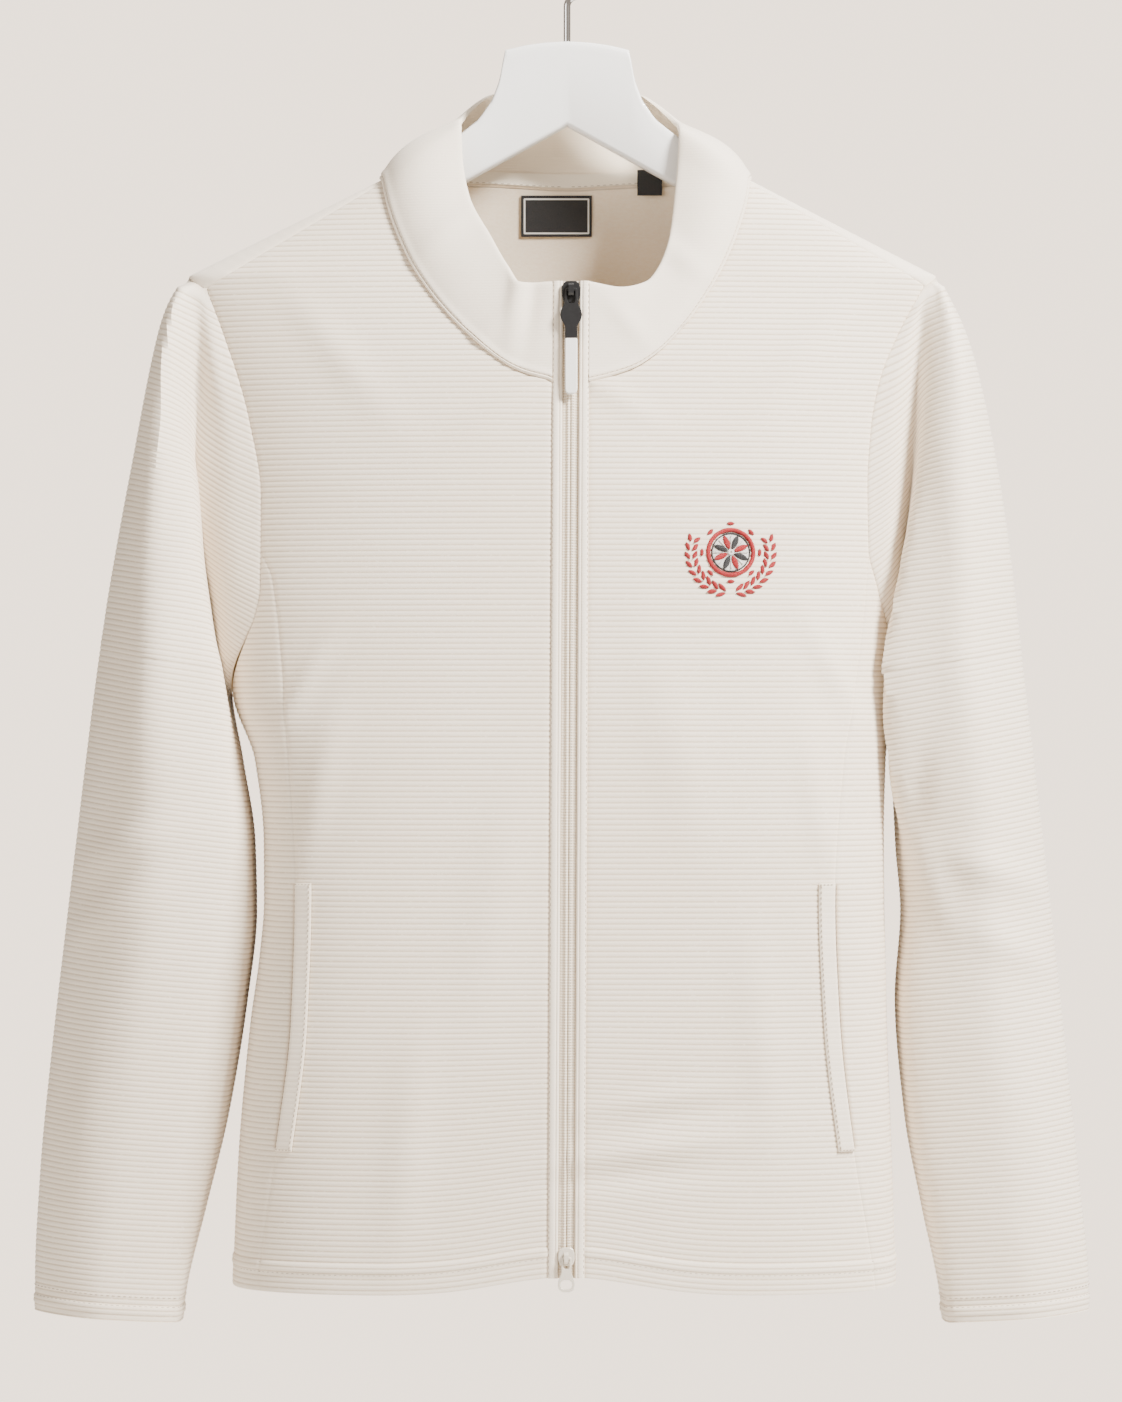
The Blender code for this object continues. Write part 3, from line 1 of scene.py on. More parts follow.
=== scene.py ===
import math
import bpy
import numpy as np
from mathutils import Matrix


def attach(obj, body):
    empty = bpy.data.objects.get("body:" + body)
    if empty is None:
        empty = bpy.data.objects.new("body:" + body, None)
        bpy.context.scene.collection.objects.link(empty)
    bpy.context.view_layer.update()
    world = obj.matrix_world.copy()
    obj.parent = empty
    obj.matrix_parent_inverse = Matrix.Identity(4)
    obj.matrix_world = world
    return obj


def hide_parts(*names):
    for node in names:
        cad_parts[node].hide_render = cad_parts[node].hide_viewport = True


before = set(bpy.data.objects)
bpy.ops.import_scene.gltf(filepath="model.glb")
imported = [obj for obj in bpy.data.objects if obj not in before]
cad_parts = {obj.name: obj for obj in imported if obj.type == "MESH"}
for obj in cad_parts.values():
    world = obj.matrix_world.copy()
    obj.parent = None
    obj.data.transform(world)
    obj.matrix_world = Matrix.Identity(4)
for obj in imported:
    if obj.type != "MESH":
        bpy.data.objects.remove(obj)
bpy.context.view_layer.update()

# ---- camera, floor and light

camera = {"place": (-0.0035, -2.6, -0.448), "distance": 2.6, "tall": 0.81316}
studio = {
    "air": (0.95, 0.80, 0.655), "airLight": 0.46, "airSeen": 3.1,
    "floor": (0.78, 0.75, 0.71), "floorDrop": 1.25, "floorHalf": 2.2,
    # light: place, what it looks at, size, watts, colour
    "key": ((1.75, -1.35, 1.50), (0.0, 0.0, -0.42), 0.7, 360.0, (1.0, 0.975, 0.94)),
    "fill": ((-2.2, -2.1, 0.1), (0.0, 0.0, -0.45), 1.6, 40.0, (1.0, 0.97, 0.93)),
    "above": ((0.3, 0.9, 1.6), (0.0, 0.0, -0.30), 1.2, 30.0, (1.0, 0.98, 0.95)),
}


def aim(piece, place, target):
    # turns a camera or light so that its -Z runs from its place to the target
    piece.location = place
    dx, dy, dz = (t - p for t, p in zip(target, place))
    tilt, turn = math.atan2(math.hypot(dx, dy), -dz), math.atan2(dy, dx) - math.pi / 2
    piece.rotation_euler = (tilt, 0.0, turn)


def link(name, data):
    piece = bpy.data.objects.new(name, data)
    bpy.context.scene.collection.objects.link(piece)
    return piece


def makeStudio():
    lens = bpy.data.cameras.new("photoLens")
    lens.sensor_fit = "VERTICAL"
    lens.angle_y = 2 * math.atan(camera["tall"] / 2 / camera["distance"])
    view = link("photoCamera", lens)
    x, y, z = camera["place"]
    aim(view, (x, y, z), (x, 0.0, z))
    bpy.context.scene.camera = view
    for name in ("key", "fill", "above"):
        place, target, size, watts, colour = studio[name]
        lamp = bpy.data.lights.new(name + "Light", "AREA")
        lamp.size, lamp.energy, lamp.color = size, watts, colour
        aim(link(name + "Lamp", lamp), place, target)
    air = bpy.data.worlds.new("air")
    bpy.context.scene.world = air
    air.use_nodes = True
    # the camera sees the air brighter than it lights, as a lit wall behind the jacket would be
    nodes, links = air.node_tree.nodes, air.node_tree.links
    lit, seen = nodes["Background"], nodes.new("ShaderNodeBackground")
    for back, strength in ((lit, studio["airLight"]), (seen, studio["airSeen"])):
        back.inputs["Color"].default_value = (*studio["air"], 1.0)
        back.inputs["Strength"].default_value = strength
    mix, path = nodes.new("ShaderNodeMixShader"), nodes.new("ShaderNodeLightPath")
    links.new(path.outputs["Is Camera Ray"], mix.inputs[0])
    links.new(lit.outputs[0], mix.inputs[1])
    links.new(seen.outputs[0], mix.inputs[2])
    links.new(mix.outputs[0], nodes["World Output"].inputs["Surface"])
    mesh = bpy.data.meshes.new("floor")
    w, z = studio["floorHalf"], -studio["floorDrop"]
    mesh.from_pydata([(-w, -w, z), (w, -w, z), (w, w, z), (-w, w, z)], [], [(0, 1, 2, 3)])
    floor = link("floor", mesh)
    mesh.materials.append(plainPaint("floorPaint", studio["floor"], 0.9))
    print("studio done")


# ---- shader maths

class Knob:
    # one shader value: the usual operators add Math nodes
    def __init__(self, paint, socket):
        self.paint, self.socket = paint, socket

    def maths(self, operation, first, second=0.0):
        return self.paint.add("ShaderNodeMath", {"operation": operation}, {0: first, 1: second})

    def __add__(self, other): return self.maths("ADD", self, other)
    def __radd__(self, other): return self.maths("ADD", other, self)
    def __sub__(self, other): return self.maths("SUBTRACT", self, other)
    def __rsub__(self, other): return self.maths("SUBTRACT", other, self)
    def __mul__(self, other): return self.maths("MULTIPLY", self, other)
    def sine(self): return self.maths("SINE", self)
    def size(self): return self.maths("ABSOLUTE", self)
    def above(self, limit): return self.maths("GREATER_THAN", self, limit)
    def most(self, other): return self.maths("MAXIMUM", self, other)

    def between(self, low, high):
        # 0 below low, 1 above high, smooth between them
        return self.paint.add("ShaderNodeMapRange", {"interpolation_type": "SMOOTHSTEP"},
                              {"Value": self, "From Min": low, "From Max": high})


class Paint:
    # a material in the making
    def __init__(self, name, roughness=0.8, metallic=0.0, coat=0.0, sheen=0.0):
        self.look = bpy.data.materials.new(name)
        self.look.use_nodes = True
        self.tree = self.look.node_tree
        self.shader = self.tree.nodes["Principled BSDF"]
        self.put("Roughness", roughness)
        self.put("Metallic", metallic)
        self.put("Coat Weight", coat)
        self.put("Sheen Weight", sheen)

    def fill(self, socket, value):
        if isinstance(value, Knob):
            self.tree.links.new(value.socket, socket)
        elif hasattr(value, "__len__") and socket.type == "RGBA":
            socket.default_value = (*value[:3], 1.0)
        else:
            socket.default_value = value

    def add(self, kind, settings=None, values=None, out=0):
        node = self.tree.nodes.new(kind)
        for name, value in (settings or {}).items():
            setattr(node, name, value)
        for name, value in (values or {}).items():
            self.fill(node.inputs[name], value)
        return Knob(self, node.outputs[out])

    def put(self, name, value):
        self.fill(self.shader.inputs[name], value)

    def places(self):
        # the piece's own z in metres, and its own place
        spot = self.add("ShaderNodeTexCoord", out=3)
        return self.add("ShaderNodeSeparateXYZ", None, {0: spot}, out=2), spot

    def mark(self, name):
        return self.add("ShaderNodeAttribute", {"attribute_name": name}, out=2)

    def noise(self, spot, scale, detail=3.0, roughness=0.55, squeeze=None):
        if squeeze:
            spot = self.add("ShaderNodeMapping", None, {"Vector": spot, "Scale": squeeze})
        return self.add("ShaderNodeTexNoise", None,
                        {"Vector": spot, "Scale": scale, "Detail": detail, "Roughness": roughness})

    def mix(self, share, first, second):
        # two colours by a share
        node = self.tree.nodes.new("ShaderNodeMix")
        node.data_type = "RGBA"
        self.fill(node.inputs[0], share)
        self.fill(node.inputs[6], first)
        self.fill(node.inputs[7], second)
        return Knob(self, node.outputs[2])

    def bump(self, height, depth, strength=1.0):
        self.put("Normal", self.add("ShaderNodeBump", None, {"Height": height, "Distance": depth,
                                                              "Strength": strength}))


def plainPaint(name, colour, roughness, metallic=0.0):
    paint = Paint(name, roughness, metallic)
    paint.put("Base Color", colour)
    return paint.look


# ---- sizes in metres: a drop is a depth below the hook's inner top, out is from the middle

neckDrop = 0.1465  # neck points, where collar and shoulders meet
tipDrop = 0.2005  # where the armhole seams cross the shoulder ridges
cfNeckDrop = 0.2672  # neck seam at the zip
collarTopDrop = 0.2090  # top of the collar at the zip
apexDrop = 0.3620  # where a princess seam leaves the armhole
underarmDrop = 0.4420
hemDrop = 0.7840
cuffDrop = 0.8060

neckHalf = {-1: 0.1067, 1: 0.1050}
shoulderHalf = {-1: 0.2187, 1: 0.2134}
shoulderDrop = 0.2025  # the shoulder line, run on to its outer end

knit = 0.0020  # thickness of the double knit
collarWall = 0.0032  # the collar is folded double
seamInset = 0.00020
clear = 0.00035  # between pieces that lie on each other

hemRise = 0.0110  # the zip holds the hem up by this much
hemRiseReach = 0.0550
hemRiseStart = 0.6000
hemLevels = (0.0180, 0.0160, 0.0125, 0.0110, 0.0040, 0.0)  # heights above the hem's edge
hemProud = (0.0, 0.0009, 0.0009, 0.0002, 0.0003, 0.0)  # how far each stands proud
cuffLevels = (0.0150, 0.0135, 0.0100, 0.0085, 0.0030, 0.0)
cuffProud = (0.0, 0.0008, 0.0008, 0.0002, 0.0003, 0.0)

zipTopX = 0.0023  # the zip leans a little: its middle at the collar's top
zipFootX = -0.0006  # and at the hem
zipHalf = 0.0046  # half the visible width of tape and coil
bandWidth = 0.0058
bandWall = 0.0030
tapeWall = 0.0014

weltTopDrop = 0.5510
weltFootDrop = 0.7035
weltWidth = 0.0090
weltWall = 0.0015


tapeStart = 0.0095  # how far behind the hanger's middle the neck tape starts
neckTapeWall = 0.0008
labelWall = 0.0007
labelX = (-0.0269, 0.0146)
labelDrops = (0.1520, 0.1754)
sizeLabelX = (0.0410, 0.0555)
sizeLabelDrops = (0.1380, 0.1530)
sizeLabelY = 0.0167

hangerHalf = 0.0065  # half its thickness
hangerRounding = 0.0025
hangerTip = {-1: 0.2050, 1: 0.2005}
wireRadius = 0.0020
hookRadius = 0.0210  # of the wire's middle line
hookBendRadius = 0.0060
hookBendAngle = math.radians(75)
hookEndAngle = math.radians(205)
hookFoot = -0.0657


def table(columns, *rows):
    # each column's name with its values, top to bottom; the rows are in ten-thousandths, which
    # are tenths of a millimetre for lengths
    return dict(zip(columns.split(), np.array(rows).T / 10000))


# The body's rounded ovals: half widths of the two sides, depths before and behind the hanger,
# and how square the oval is (2 is an ellipse).
body = table("drop left right front back square",
    (1465, 1067, 1050, 190, 220, 20000),
    (1800, 1700, 1700, 270, 310, 20000),
    (2025, 2187, 2134, 330, 370, 20000),
    (2320, 2110, 2060, 430, 440, 20000),
    (2670, 2050, 1990, 530, 500, 20000),
    (3310, 1970, 1930, 635, 570, 21000),
    (3840, 1945, 1905, 690, 605, 23000),
    (4420, 1930, 1890, 730, 630, 26000),
    (4820, 1795, 1832, 750, 640, 32000),
    (5300, 1742, 1820, 760, 645, 35000),
    (5630, 1740, 1822, 760, 645, 36000),
    (5940, 1765, 1830, 760, 645, 36000),
    (6340, 1820, 1838, 755, 640, 35000),
    (7100, 1890, 1868, 740, 630, 32000),
    (7840, 1925, 1895, 720, 620, 30000))

# Seams on the front and back, as a drop and its outward distance.
neckline = {
    -1: table("drop out", (1477, 1060), (1660, 1020), (1950, 903), (2218, 726), (2452, 496),
              (2610, 267), (2672, 60)),
    1: table("drop out", (1477, 1043), (1590, 1028), (1800, 967), (2010, 877), (2206, 760),
             (2362, 645), (2571, 415), (2656, 188), (2672, 100)),
}
backNeckDip = 0.0035
forwardSeamEnd = {-1: (0.2098, 0.2080), 1: (0.2080, 0.2062)}  # drop and outward at the armhole
forwardSeamStart = 0.0012  # its drop below the neck point
armFront = {
    -1: table("drop out", (2098, 2080), (2330, 1990), (2850, 1825), (3310, 1750), (3620, 1750),
              (3840, 1752), (4000, 1785), (4130, 1840), (4300, 1905), (4420, 1930)),
    1: table("drop out", (2080, 2062), (2388, 1895), (2640, 1795), (2890, 1745), (3260, 1720),
             (3620, 1725), (3810, 1770), (4040, 1830), (4250, 1872), (4420, 1890)),
}
armBack = {
    -1: table("drop out", (2005, 2144), (2150, 2080), (2330, 1985), (2850, 1815), (3310, 1740),
              (3620, 1725), (3840, 1740), (4130, 1830), (4300, 1900), (4420, 1930)),
    1: table("drop out", (2005, 2094), (2150, 2030), (2330, 1940), (2850, 1780), (3310, 1705),
             (3620, 1690), (3840, 1705), (4130, 1790), (4300, 1860), (4420, 1890)),
}
princessSeam = {
    -1: table("drop out", (3620, 1750), (3780, 1680), (4470, 1605), (4820, 1580), (5510, 1535),
              (6300, 1560), (7030, 1650), (7610, 1735), (7840, 1760)),
    1: table("drop out", (3620, 1725), (4020, 1690), (4500, 1620), (4820, 1570), (5580, 1510),
             (6300, 1540), (7060, 1630), (7680, 1735), (7840, 1755)),
}
backSeam = {
    -1: table("drop out", (3620, 1725), (3780, 1655), (4420, 1560), (5600, 1480), (7000, 1560),
              (7840, 1640)),
    1: table("drop out", (3620, 1690), (3780, 1625), (4420, 1550), (5600, 1480), (7000, 1560),
             (7840, 1640)),
}

# The collar's upper edge, by its share of the way from the zip round to the middle of the back.
collarTop = {
    -1: table("share out front drop", (0, 81, 460, 2090), (850, 265, 445, 2095),
              (1400, 340, 400, 1990), (2500, 435, 335, 1820), (4000, 560, 225, 1580),
              (5000, 603, 140, 1350), (5550, 612, 100, 1170), (6000, 618, 0, 1125),
              (6450, 605, -100, 1085), (7600, 510, -215, 972), (8400, 420, -285, 920),
              (10000, 0, -350, 885)),
    1: table("share out front drop", (0, 127, 460, 2090), (700, 300, 445, 2120),
             (1500, 450, 400, 2085), (2100, 540, 340, 1960), (3000, 590, 270, 1800),
             (4200, 625, 180, 1520), (5000, 640, 130, 1350), (5550, 647, 100, 1185),
             (6000, 645, 0, 1145), (6450, 620, -100, 1100), (7600, 510, -215, 982),
             (8400, 420, -285, 925), (10000, 0, -350, 885)),
}
collarBulge = table("share swell", (0, 0), (2000, 20), (5000, 65), (7500, 70), (10000, 30))

# A sleeve's rows, from the armhole to the cuff. A row runs from the front of the armhole (below
# the underarm, from the sleeve's inner line) over a shallow valley, the tube's front edge, its
# front, its outer line and its back, to the heel behind the armhole. "seam" is the inner line's
# outward distance below the underarm, and "level" is the row's drop at its outer line.
sleeveColumns = "drop level seam valleyOut valleyY edgeOut edgeY frontY backY heelOut heelY"
sleeveForm = {
    -1: table(sleeveColumns,
        (2120, 2075, 1956, 2135, 115, 2180, 110, 115, 130, 2150, 130),
        (2330, 2190, 1956, 2130, 125, 2210, 165, 200, 215, 2120, 190),
        (2850, 2500, 1956, 2130, 130, 2227, 225, 310, 310, 2050, 280),
        (3310, 2870, 1956, 2150, 135, 2198, 260, 390, 370, 2000, 330),
        (3620, 3180, 1956, 2140, 140, 2160, 290, 430, 410, 1990, 360),
        (3840, 3400, 1956, 2115, 140, 2128, 310, 450, 430, 1990, 370),
        (4130, 3750, 1956, 2065, 130, 2070, 330, 480, 460, 2000, 370),
        (4300, 4000, 1956, 2030, 125, 2025, 340, 495, 480, 2000, 370),
        (4420, 4180, 1956, 1995, 120, 1980, 345, 500, 490, 1995, 370),
        (4820, 4680, 1890, 1892, 150, 1905, 340, 520, 500, 1930, 360),
        (5300, 5170, 1818, 1820, 150, 1840, 340, 500, 480, 1860, 350),
        (5700, 5590, 1808, 1811, 140, 1832, 310, 470, 440, 1850, 310),
        (6200, 6100, 1860, 1864, 130, 1890, 290, 430, 400, 1900, 290),
        (6870, 6785, 1970, 1974, 120, 2000, 260, 370, 350, 2010, 250),
        (7410, 7340, 2100, 2105, 100, 2130, 220, 320, 300, 2140, 210),
        (7890, 7830, 2215, 2220, 90, 2240, 190, 280, 260, 2250, 180),
        (8060, 8005, 2237, 2242, 90, 2260, 185, 270, 255, 2270, 175)),
    1: table(sleeveColumns,
        (2120, 2075, 1916, 2085, 115, 2130, 110, 115, 130, 2100, 130),
        (2330, 2190, 1916, 2040, 125, 2125, 165, 200, 215, 2060, 190),
        (2850, 2500, 1916, 2020, 130, 2100, 235, 310, 310, 1990, 280),
        (3310, 2870, 1916, 2000, 150, 2045, 280, 390, 370, 1940, 330),
        (3620, 3180, 1916, 1975, 160, 1995, 310, 430, 410, 1930, 360),
        (3840, 3400, 1916, 1955, 170, 1950, 340, 450, 430, 1930, 370),
        (4130, 3750, 1916, 1935, 185, 1880, 380, 480, 460, 1935, 370),
        (4300, 4000, 1916, 1922, 200, 1825, 410, 500, 480, 1940, 370),
        (4420, 4180, 1916, 1915, 200, 1800, 430, 510, 490, 1940, 370),
        (4820, 4680, 1900, 1902, 200, 1835, 400, 520, 500, 1925, 360),
        (5300, 5170, 1915, 1918, 150, 1925, 330, 500, 480, 1955, 350),
        (5700, 5590, 1945, 1948, 130, 1968, 300, 470, 440, 1980, 310),
        (6200, 6100, 1912, 1916, 130, 1935, 290, 430, 400, 1950, 290),
        (6870, 6785, 1965, 1970, 120, 1990, 260, 370, 350, 2005, 250),
        (7410, 7340, 2065, 2070, 100, 2095, 220, 320, 300, 2105, 210),
        (7890, 7830, 2165, 2170, 90, 2190, 190, 280, 260, 2200, 180),
        (8060, 8005, 2185, 2190, 90, 2210, 185, 270, 255, 2220, 175)),
}
# A sleeve's outer line, as seen from the front.
sleeveOuter = {
    -1: table("drop out", (2000, 2175), (2060, 2235), (2230, 2326), (2420, 2380), (3120, 2517),
              (3730, 2630), (4250, 2710), (4820, 2784), (5700, 2890), (6560, 2990), (7200, 3050),
              (7840, 3080), (8060, 3080)),
    1: table("drop out", (2000, 2110), (2060, 2165), (2116, 2195), (2310, 2290), (2540, 2366),
             (3000, 2465), (3635, 2564), (4310, 2640), (4820, 2700), (5776, 2810), (6675, 2906),
             (7390, 2980), (7860, 3020), (8060, 3020)),
}
# How much of the fall from a row's outer line to its seam each of its nine points has made,
# beside the armhole, where the rows run down into the seam.
sleeveFall = (0.0, 0.18, 0.55, 0.75, 0.88, 1.0, 0.85, 0.45, 0.0)
sleeveCrown = 0.0040  # the roll of cloth beside the front of the armhole
# The hanger's upper edge beside its neck, and its lower edge.
hangerTop = table("out drop", (0, 660), (120, 666), (240, 682), (360, 710), (373, 780),
                  (390, 880), (435, 1000), (510, 1110), (610, 1190), (1080, 1500))
hangerLow = table("out drop", (0, 1147), (600, 1480), (2050, 2160), (2090, 2170))
# ---- curves and surfaces

def smooth(xs, ys, x):
    # value at x of the cubic through (xs, ys) that never overshoots, level past both ends
    xs, ys = np.asarray(xs, float), np.asarray(ys, float)
    x = np.clip(np.asarray(x, float), xs[0], xs[-1])
    step = np.diff(xs)
    slope = np.diff(ys) / step
    total = slope[:-1] + slope[1:]
    agree = slope[:-1] * slope[1:] > 0
    middle = np.where(agree, 2 * slope[:-1] * slope[1:] / np.where(agree, total, 1.0), 0.0)
    tangent = np.concatenate(([slope[0]], middle, [slope[-1]]))
    k = np.clip(np.searchsorted(xs, x, side="right") - 1, 0, len(step) - 1)
    t = (x - xs[k]) / step[k]
    start, end = ys[k], ys[k + 1]
    lead, tail = tangent[k] * step[k], tangent[k + 1] * step[k]
    return (start * (1 + 2 * t) * (1 - t) ** 2 + lead * t * (1 - t) ** 2
            + end * t * t * (3 - 2 * t) + tail * t * t * (t - 1))


def ease(t):
    # from 0 to 1 with level ends as t runs from 0 to 1
    t = np.clip(t, 0.0, 1.0)
    return t * t * (3 - 2 * t)


def unit(vectors):
    # the same directions with length 1
    return vectors / np.maximum(np.linalg.norm(vectors, axis=-1, keepdims=True), 1e-12)


def travel(line):
    # distance gone along a line of points
    return np.concatenate(([0.0], np.cumsum(np.linalg.norm(np.diff(line, axis=0), axis=1))))


def along(line, gone, at):
    # the line's values at the given distances
    return np.stack([np.interp(at, gone, line[:, k]) for k in range(3)], axis=-1)


def outAt(line, drop):
    # outward distance of a tabled seam at a drop
    return smooth(line["drop"], line["out"], drop)


def bodyAt(column, drop):
    # a column of the body's table at a drop
    return smooth(body["drop"], body[column], drop)


def halfWidth(side, drop):
    # outward reach of the body: the straight shoulder line, then the oval sections
    run = (drop - neckDrop) / (shoulderDrop - neckDrop)
    shoulder = neckHalf[side] + (shoulderHalf[side] - neckHalf[side]) * run
    below = bodyAt("left" if side < 0 else "right", drop)
    return np.where(drop < shoulderDrop, shoulder, below)


def depth(angle, drop):
    # depth of the oval before the hanger (angle under a quarter turn) or behind it
    front = bodyAt("front", drop)
    back = bodyAt("back", drop)
    return np.where(angle < math.pi / 2, front, back)


def torso(side, angle, drop):
    # point of the body's middle surface at an angle from the middle of the front (0) by the
    # side (a quarter turn) to the middle of the back (a half turn)
    angle, drop = np.broadcast_arrays(np.asarray(angle, float), np.asarray(drop, float))
    square = bodyAt("square", drop)
    sine, cosine = np.sin(angle), np.cos(angle)
    reach = ((np.abs(sine) / halfWidth(side, drop)) ** square
             + (np.abs(cosine) / depth(angle, drop)) ** square) ** (-1 / square)
    out, forward = reach * sine, reach * cosine
    nearZip = np.exp(-((out / hemRiseReach) ** 2)) * (angle < math.pi / 2)
    rise = hemRise * nearZip * ease((drop - hemRiseStart) / (hemDrop - hemRiseStart))
    return np.stack((side * out, -forward, rise - drop), axis=-1)


def torsoNormal(side, angle, drop):
    # outward normal of the body's surface, from small steps along both of its directions
    stepAngle, stepDrop = 1e-3, 2e-4
    along = torso(side, angle + stepAngle, drop) - torso(side, angle - stepAngle, drop)
    down = torso(side, angle, drop + stepDrop) - torso(side, angle, drop - stepDrop)
    return unit(side * np.cross(down, along))


def ovalAngle(side, out, drop, behind=False):
    # the angle at which the body's oval has this outward distance, before or behind
    square = bodyAt("square", drop)
    share = np.clip(np.abs(out) / halfWidth(side, drop), 0.0, 1.0)
    reach = bodyAt("back" if behind else "front", drop)
    forward = reach * (1 - share ** square) ** (1 / square)
    angle = np.arctan2(out, forward)
    return math.pi - angle if behind else angle


# ---- seams of the body
# Each seam gives the angle and the drop of its point on the row that starts at drop v.

def zipLine(side, drop, off):
    # outward distance of a line beside the zip's middle, which leans a little down to the hem
    share = (drop - collarTopDrop) / (hemDrop - collarTopDrop)
    return side * (zipTopX + (zipFootX - zipTopX) * share) + off


def rowFall(side, v):
    # how far a row's front end lies below its drop v: it follows the forward shoulder seam
    start, end = forwardSeamStart, forwardSeamEnd[side][0] - tipDrop
    shoulder = start + (end - start) * (v - neckDrop) / (tipDrop - neckDrop)
    return np.where(v < tipDrop, shoulder, end * (1 - ease((v - tipDrop) / 0.05)))


def panelInner(side, drop):
    # neckline, then the band's outer edge
    neck = outAt(neckline[side], drop)
    band = zipLine(side, drop, zipHalf + bandWidth)
    out = np.where(drop < cfNeckDrop - 1e-6, np.maximum(neck, band), band)
    return ovalAngle(side, out, drop), drop


def panelOuter(side, drop):
    # forward shoulder seam, armhole, then princess seam
    endDrop, endOut = forwardSeamEnd[side]
    startOut = neckline[side]["out"][0]
    startDrop = neckDrop + forwardSeamStart
    shoulder = startOut + (endOut - startOut) * (drop - startDrop) / (endDrop - startDrop)
    arm, seam = outAt(armFront[side], drop), outAt(princessSeam[side], drop)
    below = np.where(drop <= apexDrop, arm, seam)
    return ovalAngle(side, np.where(drop <= endDrop, shoulder, below), drop), drop


def frontOuter(side, v):
    # the forward shoulder seam, where the row that starts at v meets it
    return panelOuter(side, v + rowFall(side, v))


def armholeFront(side, v):
    # the front of the armhole from the shoulder to the underarm
    drop = v + rowFall(side, v)
    out = outAt(armFront[side], drop)
    angle = ovalAngle(side, out, drop)
    return np.where(v >= underarmDrop - 1e-9, math.pi / 2, angle), drop


def armholeBack(side, v):
    # the back of the armhole from the shoulder ridge to the underarm
    out = outAt(armBack[side], v)
    angle = ovalAngle(side, out, v, behind=True)
    atRidge = (v <= tipDrop + 1e-9) | (v >= underarmDrop - 1e-9)
    return np.where(atRidge, math.pi / 2, angle), v


def backOuter(side, v):
    # the shoulder ridge, the back of the armhole, then the seam behind the side panel
    out = outAt(backSeam[side], v)
    below = ovalAngle(side, out, v, behind=True)
    return np.where(v <= apexDrop, armholeBack(side, v)[0], below), v


def through(points, columns):
    # a smooth row through its nine points, with the given columns between each two
    closed = np.linalg.norm(points[0] - points[-1]) < 1e-6
    line = np.concatenate((points[-3:-1], points, points[1:3])) if closed else points
    gone = travel(line)
    first = 2 if closed else 0
    at = [gone[first]]
    for i in range(first, first + len(points) - 1):
        at.extend(gone[i] + (gone[i + 1] - gone[i]) * (np.arange(columns) + 1) / columns)
    row = np.stack([smooth(gone, line[:, axis], np.array(at)) for axis in range(3)], axis=-1)
    if closed:
        row[-1] = row[0]
    return row


def sleeveRow(side, v):
    # the nine points of the sleeve's row that meets the armhole, or its inner line, at v
    at = {name: float(smooth(sleeveForm[side]["drop"], values, v))
          for name, values in sleeveForm[side].items() if name != "drop"}
    if v < underarmDrop - 1e-9:
        # near the underarm both ends move aside to the sleeve's inner line
        aside = at["seam"] - float(halfWidth(side, underarmDrop))
        start, end = (torso(side, *edge(side, v)) * (side, 1, 1)
                      + (aside * ease((v - 0.395) / 0.035), 0, 0)
                      for edge in (armholeFront, armholeBack))
    else:
        start = end = np.array((at["seam"], 0.0, -v))
    outer = float(outAt(sleeveOuter[side], at["level"]))
    tube = ease((v - 0.40) / 0.10)  # 0 while the rows run down into the armhole, 1 as a tube
    crown = sleeveCrown * ease((v - tipDrop) / 0.08) * (1 - tube)
    crownY = 0.55 * start[1] - 0.45 * at["valleyY"] - crown
    out = np.array((start[0], start[0] + 0.45 * (at["valleyOut"] - start[0]), at["valleyOut"],
                    at["edgeOut"], (at["edgeOut"] + outer) / 2, outer,
                    (at["heelOut"] + outer) / 2, at["heelOut"], end[0]))
    y = np.array((start[1], crownY, -at["valleyY"], -at["edgeY"], -at["frontY"], 0.0,
                  at["backY"], at["heelY"], end[1]))
    level = (out - start[0]) / (outer - start[0])
    fall = np.array(sleeveFall) * (1 - tube) + level * tube
    top = np.where(np.arange(9) < 5, start[2], end[2])
    z = top + fall * (-at["level"] - top)
    return np.stack((side * out, y, z), axis=-1)


def ridgeDrop(side, out):
    # drop of the cloth's shoulder ridge
    slope = (shoulderDrop - neckDrop) / (shoulderHalf[side] - neckHalf[side])
    return neckDrop + (out - neckHalf[side]) * slope


